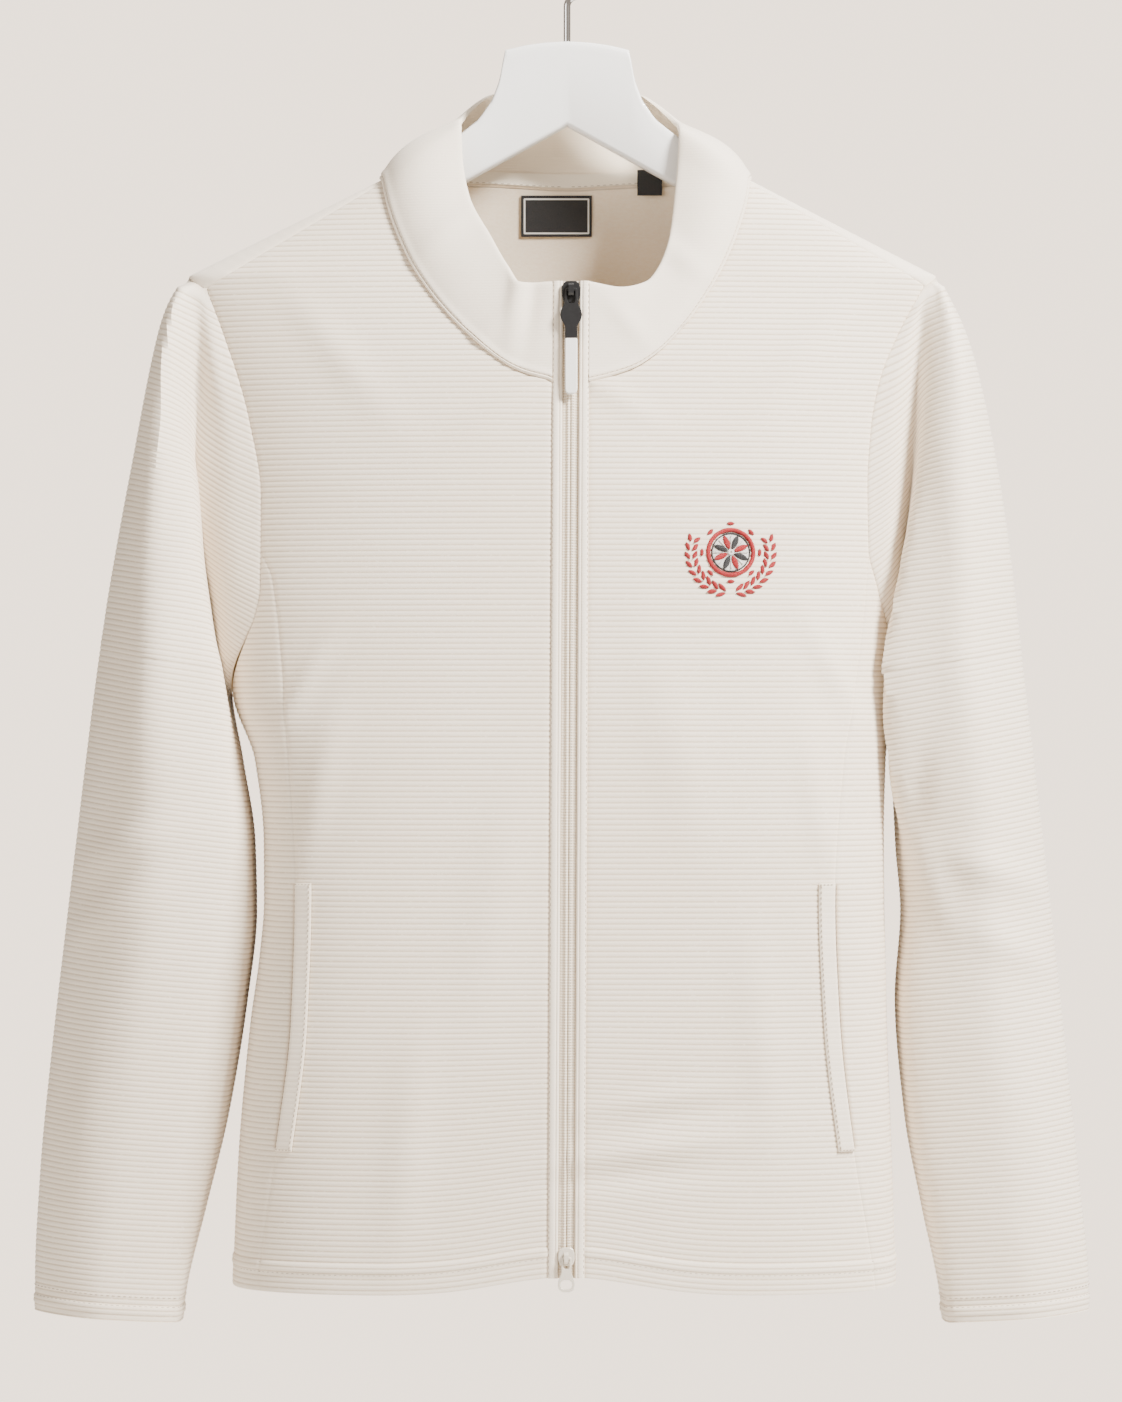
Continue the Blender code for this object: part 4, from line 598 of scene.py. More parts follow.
def hangerSection(side, out):
    # A closed ring of points across the hanger: front from top to bottom, then the back.
    tip = hangerTip[side]
    past = np.clip(1 - (tip - out) / 0.008, 0.0, 1.0)
    shrink = 0.0055 * (1 - math.sqrt(1 - past ** 2))
    under = ridgeDrop(side, out) + 0.0026
    if out < hangerTop["out"][-1]:
        top = float(np.interp(out, hangerTop["out"], hangerTop["drop"]))
    else:
        top = under
    top += shrink
    low = float(np.interp(out, hangerLow["out"], hangerLow["drop"])) - shrink
    heights = np.array((0.0, 0.0010, 0.0030, 0.0060, 0.0100))
    heights = heights * min(1.0, (low - top - 0.0030) / 0.0100)
    drop = np.concatenate((top + heights, (low - 0.0025, low - 0.0007, low)))
    near = np.clip(1 - heights / hangerRounding, 0.0, 1.0)
    thick = hangerHalf - hangerRounding * (1 - np.sqrt(1 - near ** 2))
    thick = np.concatenate((thick, (hangerHalf, hangerHalf - 0.0008, hangerHalf - 0.0025)))
    thick = thick - 0.0015 * past ** 2
    halves = []
    for column in ("front", "back"):
        room = np.full(len(drop), 1.0)
        if out >= 0.100:
            wide = halfWidth(side, drop - 0.0016)
            share = np.clip(out / wide, 0.0, 1.0)
            room = bodyAt(column, drop - 0.0016) * np.sqrt(1 - share ** 2)
        halves.append(np.maximum(np.minimum(thick, room - 0.0017), 0.0004))
    front = np.stack((np.full(8, side * out), -halves[0], -drop), axis=-1)
    back = np.stack((np.full(8, side * out), halves[1], -drop), axis=-1)
    return np.concatenate((front, back[::-1]))


# ---- cloth in fine meshes

ribs = {"pitch": 0.0031, "proud": 0.00038}  # ridges with narrow grooves
# how the cloth turns down into its seams, and where its columns lie beside them
edges = {"dip": 0.0007, "reach": 0.0022, "close": (0.0, 0.0009, 0.0022), "next": 0.0045,
         "narrow": 0.016}
# soft folds: middle (x, z), half length along, half width across, turn in degrees, height
folds = (
    (0.052, -0.700, 0.045, 0.006, 8, 0.0012), (0.040, -0.716, 0.050, 0.007, 5, -0.0012),
    (0.060, -0.683, 0.040, 0.006, 12, -0.0010), (0.048, -0.672, 0.035, 0.005, 10, 0.0008),
    (0.024, -0.272, 0.030, 0.007, -35, 0.0012), (-0.035, -0.280, 0.030, 0.007, 30, 0.0010),
    (-0.150, -0.440, 0.030, 0.006, 62, 0.0016), (-0.140, -0.500, 0.045, 0.008, 78, 0.0014),
    (0.150, -0.430, 0.035, 0.007, -64, 0.0016), (0.142, -0.510, 0.045, 0.008, -80, 0.0014),
    (-0.090, -0.700, 0.060, 0.012, 84, 0.0016), (0.110, -0.640, 0.060, 0.012, -84, 0.0014),
    (-0.040, -0.560, 0.070, 0.016, 80, 0.0012), (0.060, -0.470, 0.060, 0.016, -76, 0.0012),
    (-0.130, -0.250, 0.045, 0.010, -52, 0.0014), (0.135, -0.250, 0.045, 0.010, 52, 0.0014),
    (-0.250, -0.530, 0.028, 0.010, 24, 0.0022), (-0.262, -0.570, 0.030, 0.010, 30, 0.0018),
    (0.245, -0.545, 0.028, 0.010, -24, 0.0022), (0.255, -0.590, 0.030, 0.010, -30, 0.0018),
    (0.200, -0.500, 0.030, 0.006, 84, -0.0022), (0.207, -0.545, 0.032, 0.006, -70, 0.0020),
    (-0.215, -0.330, 0.060, 0.008, 84, 0.0018), (-0.235, -0.420, 0.050, 0.012, 80, 0.0016),
    (0.222, -0.340, 0.060, 0.010, -84, 0.0018), (0.228, -0.440, 0.050, 0.012, -80, 0.0016),
    (-0.275, -0.690, 0.050, 0.012, 82, 0.0014), (0.268, -0.700, 0.050, 0.012, -82, 0.0014),
)
finePitch = ribs["pitch"] / 3
foldScale = 1.5


def softFolds(points, bumps, scale):
    # each is a Gaussian ridge: exp(-(along / length)^2 - (across / width)^2) times its height
    height = np.zeros(points.shape[:-1])
    for x, z, long, wide, turn, lift in bumps:
        c, s = math.cos(math.radians(turn)), math.sin(math.radians(turn))
        dx, dz = points[..., 0] - x, points[..., 2] - z
        ridge = ((dx * c + dz * s) / long) ** 2
        height += scale * lift * np.exp(-ridge - ((dz * c - dx * s) / wide) ** 2)
    return height


def foldHeight(points):
    # how far the folds lift the cloth
    return softFolds(points, folds, foldScale)


def folded(points, normals, share=1.0):
    # the same points on the folded cloth; only its front is folded
    height = foldHeight(points) * ease(-points[..., 1] / 0.02) * share
    return points + normals * height[..., None]


def ribShape(phase):
    # height 0 in the groove and 1 on the ridge: |sin| of half the phase to a low power
    return np.abs(np.sin(np.pi * phase)) ** 0.6


def gridNormals(points):
    # cross product of the two directions of the grid
    down, along = np.gradient(points, axis=0), np.gradient(points, axis=1)
    return unit(np.cross(down, along))


class Sheet:
    # a grid of middle points, its normals, the height over it and the marks its paint reads
    def __init__(self, points, normals, relief, groove, phase):
        self.points, self.normals = points, normals
        self.relief, self.groove, self.phase = (
            np.broadcast_to(values, points.shape[:2]) for values in (relief, groove, phase))


def gridQuads(shape, start=0):
    # the quads of a grid of points, numbered from start
    number = start + np.arange(shape[0] * shape[1]).reshape(shape[:2])
    return np.stack((number[:-1, :-1], number[1:, :-1], number[1:, 1:], number[:-1, 1:]), -1)


def joinSheets(sheets):
    # one list of points and quads, with the points that sheets share merged
    quads, start = [], 0
    for sheet in sheets:
        p = sheet.points
        quad = gridQuads(p.shape, start)
        face = np.cross(p[1:, :-1] - p[:-1, :-1], p[:-1, 1:] - p[:-1, :-1])
        if np.sum(face * sheet.normals[:-1, :-1]) < 0:
            quad = quad[..., ::-1]
        quads.append(quad.reshape(-1, 4))
        start += p.shape[0] * p.shape[1]
    values = [[getattr(sheet, name) for sheet in sheets]
              for name in ("points", "normals", "relief", "groove", "phase")]
    points, normals, relief, groove, phase = (
        np.concatenate([v.reshape(-1, *v.shape[2:]) for v in kind]) for kind in values)
    _, first, same = np.unique(np.round(points / 2e-5).astype(np.int64), axis=0,
                               return_index=True, return_inverse=True)
    same = same.reshape(-1)
    total = np.zeros((len(first), 3))
    np.add.at(total, same, normals)
    quads = same[np.concatenate(quads)]
    return points[first], unit(total), relief[first], groove[first], phase[first], quads


def makeMesh(name, points, faces, marks, paint):
    # an object at the origin with float marks on its points
    mesh = bpy.data.meshes.new(name)
    triangles = [f for f in faces if f.shape[1] == 3]
    quads = [f for f in faces if f.shape[1] == 4]
    loops = np.concatenate([f.reshape(-1) for f in quads + triangles]).astype(np.int32)
    sizes = np.concatenate([np.full(len(f), f.shape[1]) for f in quads + triangles])
    mesh.vertices.add(len(points))
    mesh.vertices.foreach_set("co", points.astype(np.float32).reshape(-1))
    mesh.loops.add(len(loops))
    mesh.loops.foreach_set("vertex_index", loops)
    mesh.polygons.add(len(sizes))
    starts = np.concatenate(([0], np.cumsum(sizes)[:-1]))
    mesh.polygons.foreach_set("loop_start", starts.astype(np.int32))
    mesh.polygons.foreach_set("loop_total", sizes.astype(np.int32))
    mesh.update(calc_edges=True)
    mesh.validate()
    for key, values in marks.items():
        mark = mesh.attributes.new(key, "FLOAT", "POINT")
        mark.data.foreach_set("value", values.astype(np.float32))
    mesh.shade_smooth()
    mesh.set_sharp_from_angle(angle=math.radians(50))
    mesh.materials.append(paint)
    return link(name, mesh)


def makeCloth(name, sheets, paint, wall, lift=0.0, both=False):
    # a closed wall round the joined sheets: their points moved out and in along the normals by
    # half the wall, joined round the rim; lift moves both, and "both" marks the inner face too
    points, normals, relief, groove, phase, quads = joinSheets(sheets)
    corners = points[quads]
    diagonals = corners[:, 2] - corners[:, 0], corners[:, 3] - corners[:, 1]
    area = 0.5 * np.linalg.norm(np.cross(*diagonals), axis=1)
    quads = quads[area > 1e-11]
    step = np.stack((quads, np.roll(quads, -1, axis=1)), -1).reshape(-1, 2)
    step = step[step[:, 0] != step[:, 1]]
    count = len(points)
    ahead, back = step[:, 0] * count + step[:, 1], step[:, 1] * count + step[:, 0]
    rim = step[~np.isin(ahead, back)]
    outside = points + normals * (lift + wall / 2 + relief)[:, None]
    inside = points + normals * (lift - wall / 2)
    # a quad with two equal corners is a triangle
    closed = (quads == np.roll(quads, -1, axis=1)).any(axis=1)
    whole, cut = quads[~closed], quads[closed]
    three = []
    for quad in cut.tolist():
        face = [p for i, p in enumerate(quad) if p != quad[i - 1]]
        if len(set(face)) == 3:
            three.append(face)
    faces = [whole, whole[:, ::-1] + count,
             np.stack((rim[:, 1], rim[:, 0], rim[:, 0] + count, rim[:, 1] + count), -1)]
    if three:
        three = np.array(three)
        faces += [three, three[:, ::-1] + count]
    inner = np.concatenate((np.zeros(count), np.ones(count)))
    marks = {"inside": inner, "groove": np.concatenate((groove, groove * both)),
             "phase": np.concatenate((phase, phase))}
    piece = makeMesh(name, np.concatenate((outside, inside)), faces, marks, paint)
    print(name, "area", round(float(area.sum()), 4), "triangles", 4 * len(quads) + 2 * len(rim))
    return piece


def fineRows(side, start, end, count, sag=False):
    # rows of the body's surface between two seams, with columns close to both seams
    def between(share):
        parts = share, share ** 2 if sag else share
        return [a[:, None] + (b - a)[:, None] * part for a, b, part in zip(start, end, parts)]

    samples = np.linspace(0.0, 1.0, 81)
    line = torso(side, *between(samples))
    move = np.diff(line, axis=1)
    length = np.linalg.norm(move, axis=2)
    turn = np.linalg.norm(np.diff(unit(move), axis=1), axis=2)
    weight = length + 0.02 * np.concatenate((turn, turn[:, -1:]), axis=1)
    gone = np.concatenate((np.zeros((len(line), 1)), np.cumsum(weight, axis=1)), axis=1)
    real = np.concatenate((np.zeros((len(line), 1)), np.cumsum(length, axis=1)), axis=1)
    share = np.empty((len(line), count + 6))
    off = np.empty_like(share)
    for i in range(len(line)):
        at = edgeSpacing(gone[i, -1], count)
        share[i] = np.interp(at, gone[i], samples)
        off[i] = np.interp(share[i], samples, real[i])
    share[:, 0], share[:, -1] = 0.0, 1.0
    angle, drop = between(share)
    return torso(side, angle, drop), torsoNormal(side, angle, drop), drop, off, real[:, -1:]


def edgeSpacing(length, count):
    # count + 6 positions: three close to each edge, the rest even
    if length < edges["narrow"]:
        return np.linspace(0.0, length, count + 6)
    close = np.array(edges["close"])
    middle = np.linspace(edges["next"], length - edges["next"], count)
    return np.concatenate((close, middle, length - close[::-1]))


def seamDip(off, length):
    # 1 at a seam, falling to 0 over the reach
    near = np.minimum(off, length - off)
    return (1 - np.clip(near / edges["reach"], 0, 1)) ** 2


# ---- panels

fronts = {-1: "Left", 1: "Right"}
# columns of the meshes between two seams
count = {"front": 26, "side": 9, "back": 32, "strip": 5, "sleeve": 46}


def hemShape(drop):
    # the turned hem's sewn ridge, by height over the edge
    return np.interp(hemDrop - drop, hemLevels[::-1], hemProud[::-1], right=0.0)


def cuffShape(level):
    # the same for a cuff
    return np.interp(cuffDrop - level, cuffLevels[::-1], cuffProud[::-1], right=0.0)


def fineDrops(start, end):
    # drops from start to end, a third of a rib apart and aligned to the ribs
    first = math.floor(start / finePitch + 1e-6) + 1
    last = math.ceil(end / finePitch - 1e-6) - 1
    inner = np.arange(first, last + 1) * finePitch
    inner = inner[(inner > start + 2e-4) & (inner < end - 2e-4)]
    return np.concatenate(([start], inner, [end]))


def clothSheet(side, start, end, steps, phase=None, share=1.0, sag=False):
    # a body's patch between two seams, ribbed and dipped at both seams
    points, normals, drop, off, length = fineRows(side, start, end, steps, sag)
    level = drop if phase is None else np.broadcast_to(phase[:, None], drop.shape)
    dip = seamDip(off, length)
    rib = 1 - share * (1 - ribShape(level / ribs["pitch"]))
    relief = ribs["proud"] * (rib - 1) * (1 - dip) - edges["dip"] * dip + hemShape(drop)
    return Sheet(folded(points, normals), normals, relief, 1 - rib, level / ribs["pitch"])


def backMiddle(side, v):
    # the middle of the back dips at the neck seam
    return np.full_like(v, math.pi), v + backNeckDip * (1 - ease((v - neckDrop) / 0.03))


def atRidge(side, v):
    # the shoulder ridge is a quarter turn round the body
    return np.full_like(v, math.pi / 2), v


def makeFront(side):
    # one patch from the neckline and the zip's band to the shoulder, armhole and princess seam
    drops = fineDrops(neckDrop + forwardSeamStart, hemDrop)
    sheet = clothSheet(side, panelInner(side, drops), panelOuter(side, drops), count["front"])
    return makeCloth("front" + fronts[side] + "Cloth", [sheet], knitPaint, knit)


pocketMouth = {"inset": 0.001, "deep": 0.0006, "across": (1.0, 0.9, 0.35), "dark": 1.6}


def makeSide(side):
    # two patches, before and behind the underarm
    drops = fineDrops(apexDrop, hemDrop)
    before = clothSheet(side, panelOuter(side, drops), armholeFront(side, drops), count["side"])
    # the pocket's mouth: a deep slit between the welt and the side panel, painted nearly black as
    # shade through a groove mark past 1
    inset = pocketMouth["inset"]
    mouth = ((drops > weltTopDrop + inset) & (drops < weltFootDrop - inset))[:, None]
    slit = np.zeros(before.relief.shape)
    slit[:, :3] = mouth * np.array(pocketMouth["across"])
    before.relief = before.relief - pocketMouth["deep"] * slit
    before.groove = np.maximum(before.groove, slit * pocketMouth["dark"])
    behind = clothSheet(side, armholeBack(side, drops), backOuter(side, drops), count["side"])
    return makeCloth("side" + fronts[side] + "Cloth", [before, behind], knitPaint, knit)


def makeBack():
    # a patch for each half of the back and a strip over each shoulder
    drops = fineDrops(neckDrop, hemDrop)
    top = np.append(drops[drops < tipDrop - 2e-4], tipDrop)
    sheets = []
    for side in (-1, 1):
        sheets.append(clothSheet(side, backMiddle(side, drops), backOuter(side, drops),
                                 count["back"], sag=True))
        sheets.append(clothSheet(side, frontOuter(side, top), atRidge(side, top),
                                 count["strip"], top, 0.35))
    return makeCloth("backCloth", sheets, knitPaint, knit)


def makeSleeve(side):
    # rows through nine points each, from the strip over the shoulder to the cuff
    many = np.linspace(tipDrop, cuffDrop, 1200)
    levels = smooth(sleeveForm[side]["drop"], sleeveForm[side]["level"], many)
    level = fineDrops(float(levels[0]), float(levels[-1]))
    v = np.interp(level, levels, many)
    v[np.argmin(np.abs(v - underarmDrop))] = underarmDrop
    rows, offs = [], []
    for value in v[1:]:
        line = through(sleeveRow(side, value), 20)
        gone = travel(line)
        offs.append(edgeSpacing(gone[-1], count["sleeve"]))
        rows.append(along(line, gone, offs[-1]))
    ridge = np.array([tipDrop])
    over, overNormals = fineRows(side, frontOuter(side, ridge), atRidge(side, ridge), 14)[:2]
    gone, at = stripRows(over[0], len(offs[0]))
    points, off = np.array([along(over[0], gone, at)] + rows), np.array(offs[:1] + offs)
    normals = gridNormals(points)
    if np.sum(normals * (points - points.mean(axis=1, keepdims=True))) < 0:
        normals = -normals
    seam = (v > tipDrop + 1e-9) & (v < underarmDrop - 1e-9)
    normals[0] = unit(along(overNormals[0], gone, at))
    normals[seam, 0] = torsoNormal(side, *armholeFront(side, v[seam]))
    normals[seam, -1] = torsoNormal(side, *armholeBack(side, v[seam]))
    length = off[:, -1:]
    dip = seamDip(off, length) * ease(np.linalg.norm(points - points[:1], axis=-1) / 0.004)
    phase = (level / ribs["pitch"])[:, None]
    rib = ribShape(phase)
    relief = ribs["proud"] * (rib - 1) * (1 - dip) - edges["dip"] * dip + cuffShape(level)[:, None]
    points = folded(points, normals, ease(np.minimum(off, length - off) / 0.02))
    # one more row, tucked under the strip over the shoulder
    tuck = points[:1] - normals[:1] * 0.0014 - np.array((side * 0.0012, 0.0, 0.0))
    again = np.concatenate(([0], np.arange(len(points))))
    sheet = Sheet(np.concatenate((tuck, points)), normals[again], relief[again],
                  1 - rib[again], phase[again])
    return makeCloth("sleeve" + fronts[side] + "Cloth", [sheet], knitPaint, knit)


# ---- collar, zip and neck

def stripRows(line, count):
    # distances along a line of points, and positions at even spacing
    gone = travel(line)
    return gone, np.linspace(0.0, gone[-1], count)


def neckLoop(side):
    # points and normals of the neck seam from the zip round to the middle of the back
    drops = np.linspace(cfNeckDrop, neckDrop + forwardSeamStart, 90)
    angle, drop = panelInner(side, drops)
    points, normals = [torso(side, angle, drop)], [torsoNormal(side, angle, drop)]
    v = np.array([neckDrop])
    for start, end, steps in ((frontOuter(side, v), atRidge(side, v), 6),
                              (atRidge(side, v), backMiddle(side, v), 80)):
        share = np.linspace(0.0, 1.0, steps + 1)[1:]
        a = start[0] + (end[0] - start[0]) * share
        d = start[1] + (end[1] - start[1]) * (share if steps < 10 else 1 - (1 - share) ** 2)
        points.append(torso(side, a, d))
        normals.append(torsoNormal(side, a, d))
    line, normal = np.concatenate(points), np.concatenate(normals)
    gone, at = stripRows(line, 110)
    return along(line, gone, at), unit(along(normal, gone, at))


def collarSide(side, levels):
    # straight lines from the neck seam to the upper edge, swollen outwards between them
    seam, seamNormals = neckLoop(side)
    gone = travel(seam)
    share = gone / gone[-1]
    edge = {name: smooth(collarTop[side]["share"], values, share)
            for name, values in collarTop[side].items()}
    top = np.stack((side * edge["out"], -edge["front"], -edge["drop"]), axis=-1)
    top[0, 0] = side * zipLine(side, collarTopDrop, zipHalf + bandWidth)
    level = np.array(levels)[:, None, None]
    flat = seam + (top - seam) * level
    outward = np.cross(np.gradient(seam, axis=0), top - seam) * side
    outward[-1] = 0.0, top[-1, 2] - seam[-1, 2], seam[-1, 1] - top[-1, 1]
    outward = unit(outward)
    swell = smooth(collarBulge["share"], collarBulge["swell"], share)[:, None]
    points = flat + outward * swell * np.sin(math.pi * level ** 0.8)
    points = points + outward * collarDents(points)[..., None]
    down, across = np.gradient(points, axis=0), np.gradient(points, axis=1)
    normals = unit(np.cross(across, down) * side)
    normals *= np.sign((normals * outward).sum(axis=-1, keepdims=True))
    normals[:, -1, 0] = 0.0
    if levels[0] == 0.0:
        rise = unit(points[1] - points[0])
        steep = np.maximum((rise * seamNormals).sum(axis=-1, keepdims=True), 0.0)
        points[0] += rise * steep * (knit / 2 + clear)
    return points, unit(normals), share


# soft dents and rolls of the collar: middle (x, z), reach along and across, turn, height
dents = (
    (-0.028, -0.212, 0.026, 0.0045, 82, 0.0022), (-0.020, -0.222, 0.028, 0.005, 82, -0.0016),
    (0.060, -0.190, 0.030, 0.007, -38, 0.0016), (-0.070, -0.180, 0.030, 0.007, 42, 0.0014),
    (0.034, -0.232, 0.022, 0.006, -50, 0.0012), (-0.046, -0.238, 0.024, 0.006, 40, 0.0012),
)


def collarDents(points):
    # only the front of the collar is dented
    return softFolds(points, dents, 1.0) * ease(-points[..., 1] / 0.02)


collarRows = np.concatenate(((0.0, 0.012, 0.03, 0.042, 0.054, 0.075, 0.10, 0.13),
                             np.linspace(0.16, 0.90, 22), (0.93, 0.955, 0.975, 0.99, 1.0)))
# the sewn foot: a raised ridge between the seam and a sewn groove, with painted shade in both; the
# upper edge rolls over
collarLift = table("level lift", (0, -3), (120, 4), (300, 7), (420, 1), (540, 7), (750, 6),
                   (1000, 2), (1300, 0), (1600, 0), (9300, 0), (9550, -1), (9750, -3), (9900, -6),
                   (10000, -11))
collarLine = table("level dark", (0, 10000), (120, 3000), (300, 0), (420, 8000), (540, 0),
                   (750, 0), (10000, 0))


def makeCollar():
    # both sides from the zip to the middle of the back, a row for each level
    sheets = []
    for side in (-1, 1):
        points, normals, share = collarSide(side, collarRows)
        lift = np.interp(collarRows, collarLift["level"], collarLift["lift"])[:, None]
        # painted shade at the collar's seam and in its sewn groove
        dark = np.interp(collarRows, collarLine["level"], collarLine["dark"])[:, None]
        phase = share[None, :] * np.ones_like(lift)
        sheets.append(Sheet(points, normals, lift, dark, phase))
    return makeCloth("collarCloth", sheets, smoothPaint, collarWall)


def zipEdge(side):
    # where the band meets the collar and the front panel, top to bottom, at even spacing
    points, normals, _ = collarSide(side, collarRows)
    drops = np.linspace(cfNeckDrop, hemDrop, 300)
    angle, drop = panelInner(side, drops)
    line = np.concatenate((points[::-1, 0][:-1], torso(side, angle, drop)))
    normal = np.concatenate((normals[::-1, 0][:-1], torsoNormal(side, angle, drop)))
    line = line + normal * (foldHeight(line) * ease((-line[:, 2] - 0.27) / 0.02))[:, None]
    gone, at = stripRows(line, 420)
    return along(line, gone, at), unit(along(normal, gone, at)), at


def besideZip(side, offs, relief, dark):
    # the zip's edge, moved towards the zip by each column's distance
    line, normal, at = zipEdge(side)
    across = np.array(offs)[None, :, None] * np.array((-side, 0.0, 0.0))
    points = line[:, None, :] + across
    normals = np.broadcast_to(normal[:, None, :], points.shape)
    return Sheet(points, normals, relief, dark, at[:, None])


def makeBand(side):
    # a narrow binding: rounded, with a sewn line near its zip edge
    offs = np.array((0.0, 0.05, 0.13, 0.3, 0.5, 0.64, 0.70, 0.76, 0.86, 0.95, 1.0)) * bandWidth
    relief = np.array((-6, -1, 3, 6, 7, 6, 2, 5, 5, 2, -4)) / 10000
    # painted shade where the band turns down at both edges and in its sewn groove
    dark = (0.9, 0.3, 0, 0, 0, 0, 0.5, 0, 0, 0.1, 0.6)
    return makeCloth("band" + fronts[side] + "Cloth", [besideZip(side, offs, relief, dark)],
                     smoothPaint, bandWall)


def makeTape(side):
    # the zip's tape, and the rounded cover of its coil beside the middle
    offs = bandWidth + np.array((0.0, 0.25, 0.46, 0.56, 0.66, 0.78, 0.90, 0.97, 1.0)) * zipHalf
    relief = np.array((0, 0, 0, 6, 11, 12, 8, 3, 0)) / 10000
    # painted shade by the band, at the foot of the coil's cover and in the groove down the middle
    dark = (0.8, 0.1, 0.2, 0.4, 0.1, 0.0, 0.1, 0.5, 1.0)
    return makeCloth("tape" + fronts[side] + "Cloth", [besideZip(side, offs, relief, dark)],
                     zipPaint, tapeWall, -0.0004)


def weltEdge(side, v):
    # the welt's outer edge runs just inside the princess seam
    return outAt(princessSeam[side], v) - 2 * seamInset


def makeWelt(side):
    # a narrow strip along the princess seam over the pocket
    v = fineDrops(weltTopDrop, weltFootDrop)
    edge = weltEdge(side, v)
    start = (ovalAngle(side, edge - weltWidth, v), v)
    points, normals, drop, off, length = fineRows(side, start, (ovalAngle(side, edge, v), v), 6)
    near = np.minimum(off, length - off)
    ends = np.minimum(v - weltTopDrop, weltFootDrop - v)[:, None]
    soft = np.minimum(near, ends * 0.5)
    rib = ribShape(drop / ribs["pitch"])
    relief = ribs["proud"] * 0.6 * (rib - 1) - 0.0007 * (1 - np.clip(soft / 0.0012, 0, 1)) ** 2
    # the welt's rib grooves get painted shade at 0.6 of the full strength
    sheet = Sheet(folded(points, normals), normals, relief, (1 - rib) * 0.6, drop / ribs["pitch"])
    return makeCloth("welt" + fronts[side] + "Cloth", [sheet], knitPaint, weltWall,
                     knit / 2 + clear + weltWall / 2)


def makeNeckTape():
    # the collar's lowest rows behind the hanger, moved to its inner face
    sheets = []
    levels = (0.015, 0.018, 0.03, 0.075, 0.12, 0.157, 0.16)
    for side in (-1, 1):
        points, normals, _ = collarSide(side, levels)
        back = points[0, :, 1] >= tapeStart
        sheets.append(Sheet(points[:, back], normals[:, back], 0.0, 0.0, 0.0))
    lift = -(collarWall / 2 + clear + neckTapeWall / 2)
    return makeCloth("neckTapeCloth", sheets, tapePaint, neckTapeWall, lift)


def makeLabel():
    # an even grid on the inner face of the back; the marks are its shares down and across
    drop, x = np.meshgrid(np.linspace(*labelDrops, 40), np.linspace(*labelX, 60), indexing="ij")
    points, normals = np.empty(x.shape + (3,)), np.empty(x.shape + (3,))
    for side in (-1, 1):
        here = np.sign(x) == side
        angle = ovalAngle(side, np.abs(x[here]), drop[here], behind=True)
        points[here] = torso(side, angle, drop[here])
        normals[here] = torsoNormal(side, angle, drop[here])
    lift = -(knit / 2 + clear + labelWall / 2)
    across = (x - labelX[0]) / (labelX[1] - labelX[0])
    down = (drop - labelDrops[0]) / (labelDrops[1] - labelDrops[0])
    sheet = Sheet(points, normals, 0.0, down, across)
    return makeCloth("labelCloth", [sheet], labelPaint, labelWall, lift, True)


def makeSizeLabel():
    # a flat upright grid
    x, drop = np.meshgrid(np.linspace(*sizeLabelX, 24), np.linspace(*sizeLabelDrops, 24))
    points = np.stack((x, np.full_like(x, sizeLabelY), -drop), axis=-1)
    normals = np.broadcast_to((0.0, 1.0, 0.0), points.shape)
    return makeCloth("sizeLabelCloth", [Sheet(points, normals, 0.0, 0.5, 0.5)],
                     labelPaint, labelWall, 0.0, True)


# ---- hanger and hook

def makeLoft(name, rings, paint):
    # a solid through closed rings, with flat ends
    rings = np.array(rings)
    many, around = rings.shape[:2]
    number = np.arange(many * around).reshape(many, around)
    a, b = number[:-1], number[1:]
    quads = np.stack((np.roll(a, 1, axis=1), a, b, np.roll(b, 1, axis=1)), -1).reshape(-1, 4)
    middle = rings.mean(axis=1)
    points = np.concatenate((rings.reshape(-1, 3), middle[[0, -1]]))
    first, last = many * around, many * around + 1
    start = np.stack((number[0], np.roll(number[0], 1), np.full(around, first)), -1)
    end = np.stack((np.roll(number[-1], 1), number[-1], np.full(around, last)), -1)
    return makeMesh(name, points, [quads, start, end], {}, paint)


def makeHanger():
    # cross-sections of the wooden hanger, close together where its outline turns
    rings = []
    for side in (-1, 1):
        tip = hangerTip[side]
        ends = tip - np.array((80, 60, 40, 25, 15, 7, 0)) / 10000
        outs = np.concatenate((np.linspace(0.0, 0.030, 10)[side < 0:],
                               np.linspace(0.032, 0.046, 12), np.linspace(0.049, 0.19, 50), ends))
        half = [hangerSection(side, float(out)) for out in outs]
        rings.extend(half[::-1] if side < 0 else half)
    return makeLoft("woodenHanger", rings, woodPaint)


def makeHook():
    # the wire: a straight stem, a bend to the right and the round over the rail
    turn, bend = hookBendAngle, hookBendRadius
    centre = wireRadius - hookRadius
    straight = (hookRadius * math.cos(turn) - bend * (1 - math.cos(turn))) / math.sin(turn)
    stemTop = centre - (hookRadius + bend) * math.sin(turn) - straight * math.cos(turn)
    line = [(0.0, z, 0.0) for z in np.linspace(hookFoot, stemTop, 12)[:-1]]
    line += [(bend * (1 - math.cos(a)), stemTop + bend * math.sin(a), a)
             for a in np.linspace(0.0, turn, 16)]
    line += [(hookRadius * math.cos(a), centre + hookRadius * math.sin(a), -a)
             for a in np.linspace(-turn, hookEndAngle, 90)]
    rings = []
    around = np.arange(20) * math.tau / 20
    for x, z, heading in line:
        across = wireRadius * np.cos(around)
        rings.append(np.stack((x + across * math.cos(heading), wireRadius * np.sin(around),
                               z - across * math.sin(heading)), axis=-1))
    return makeLoft("wireHook", rings, chromePaint)


# ---- all pieces

makeStudio()


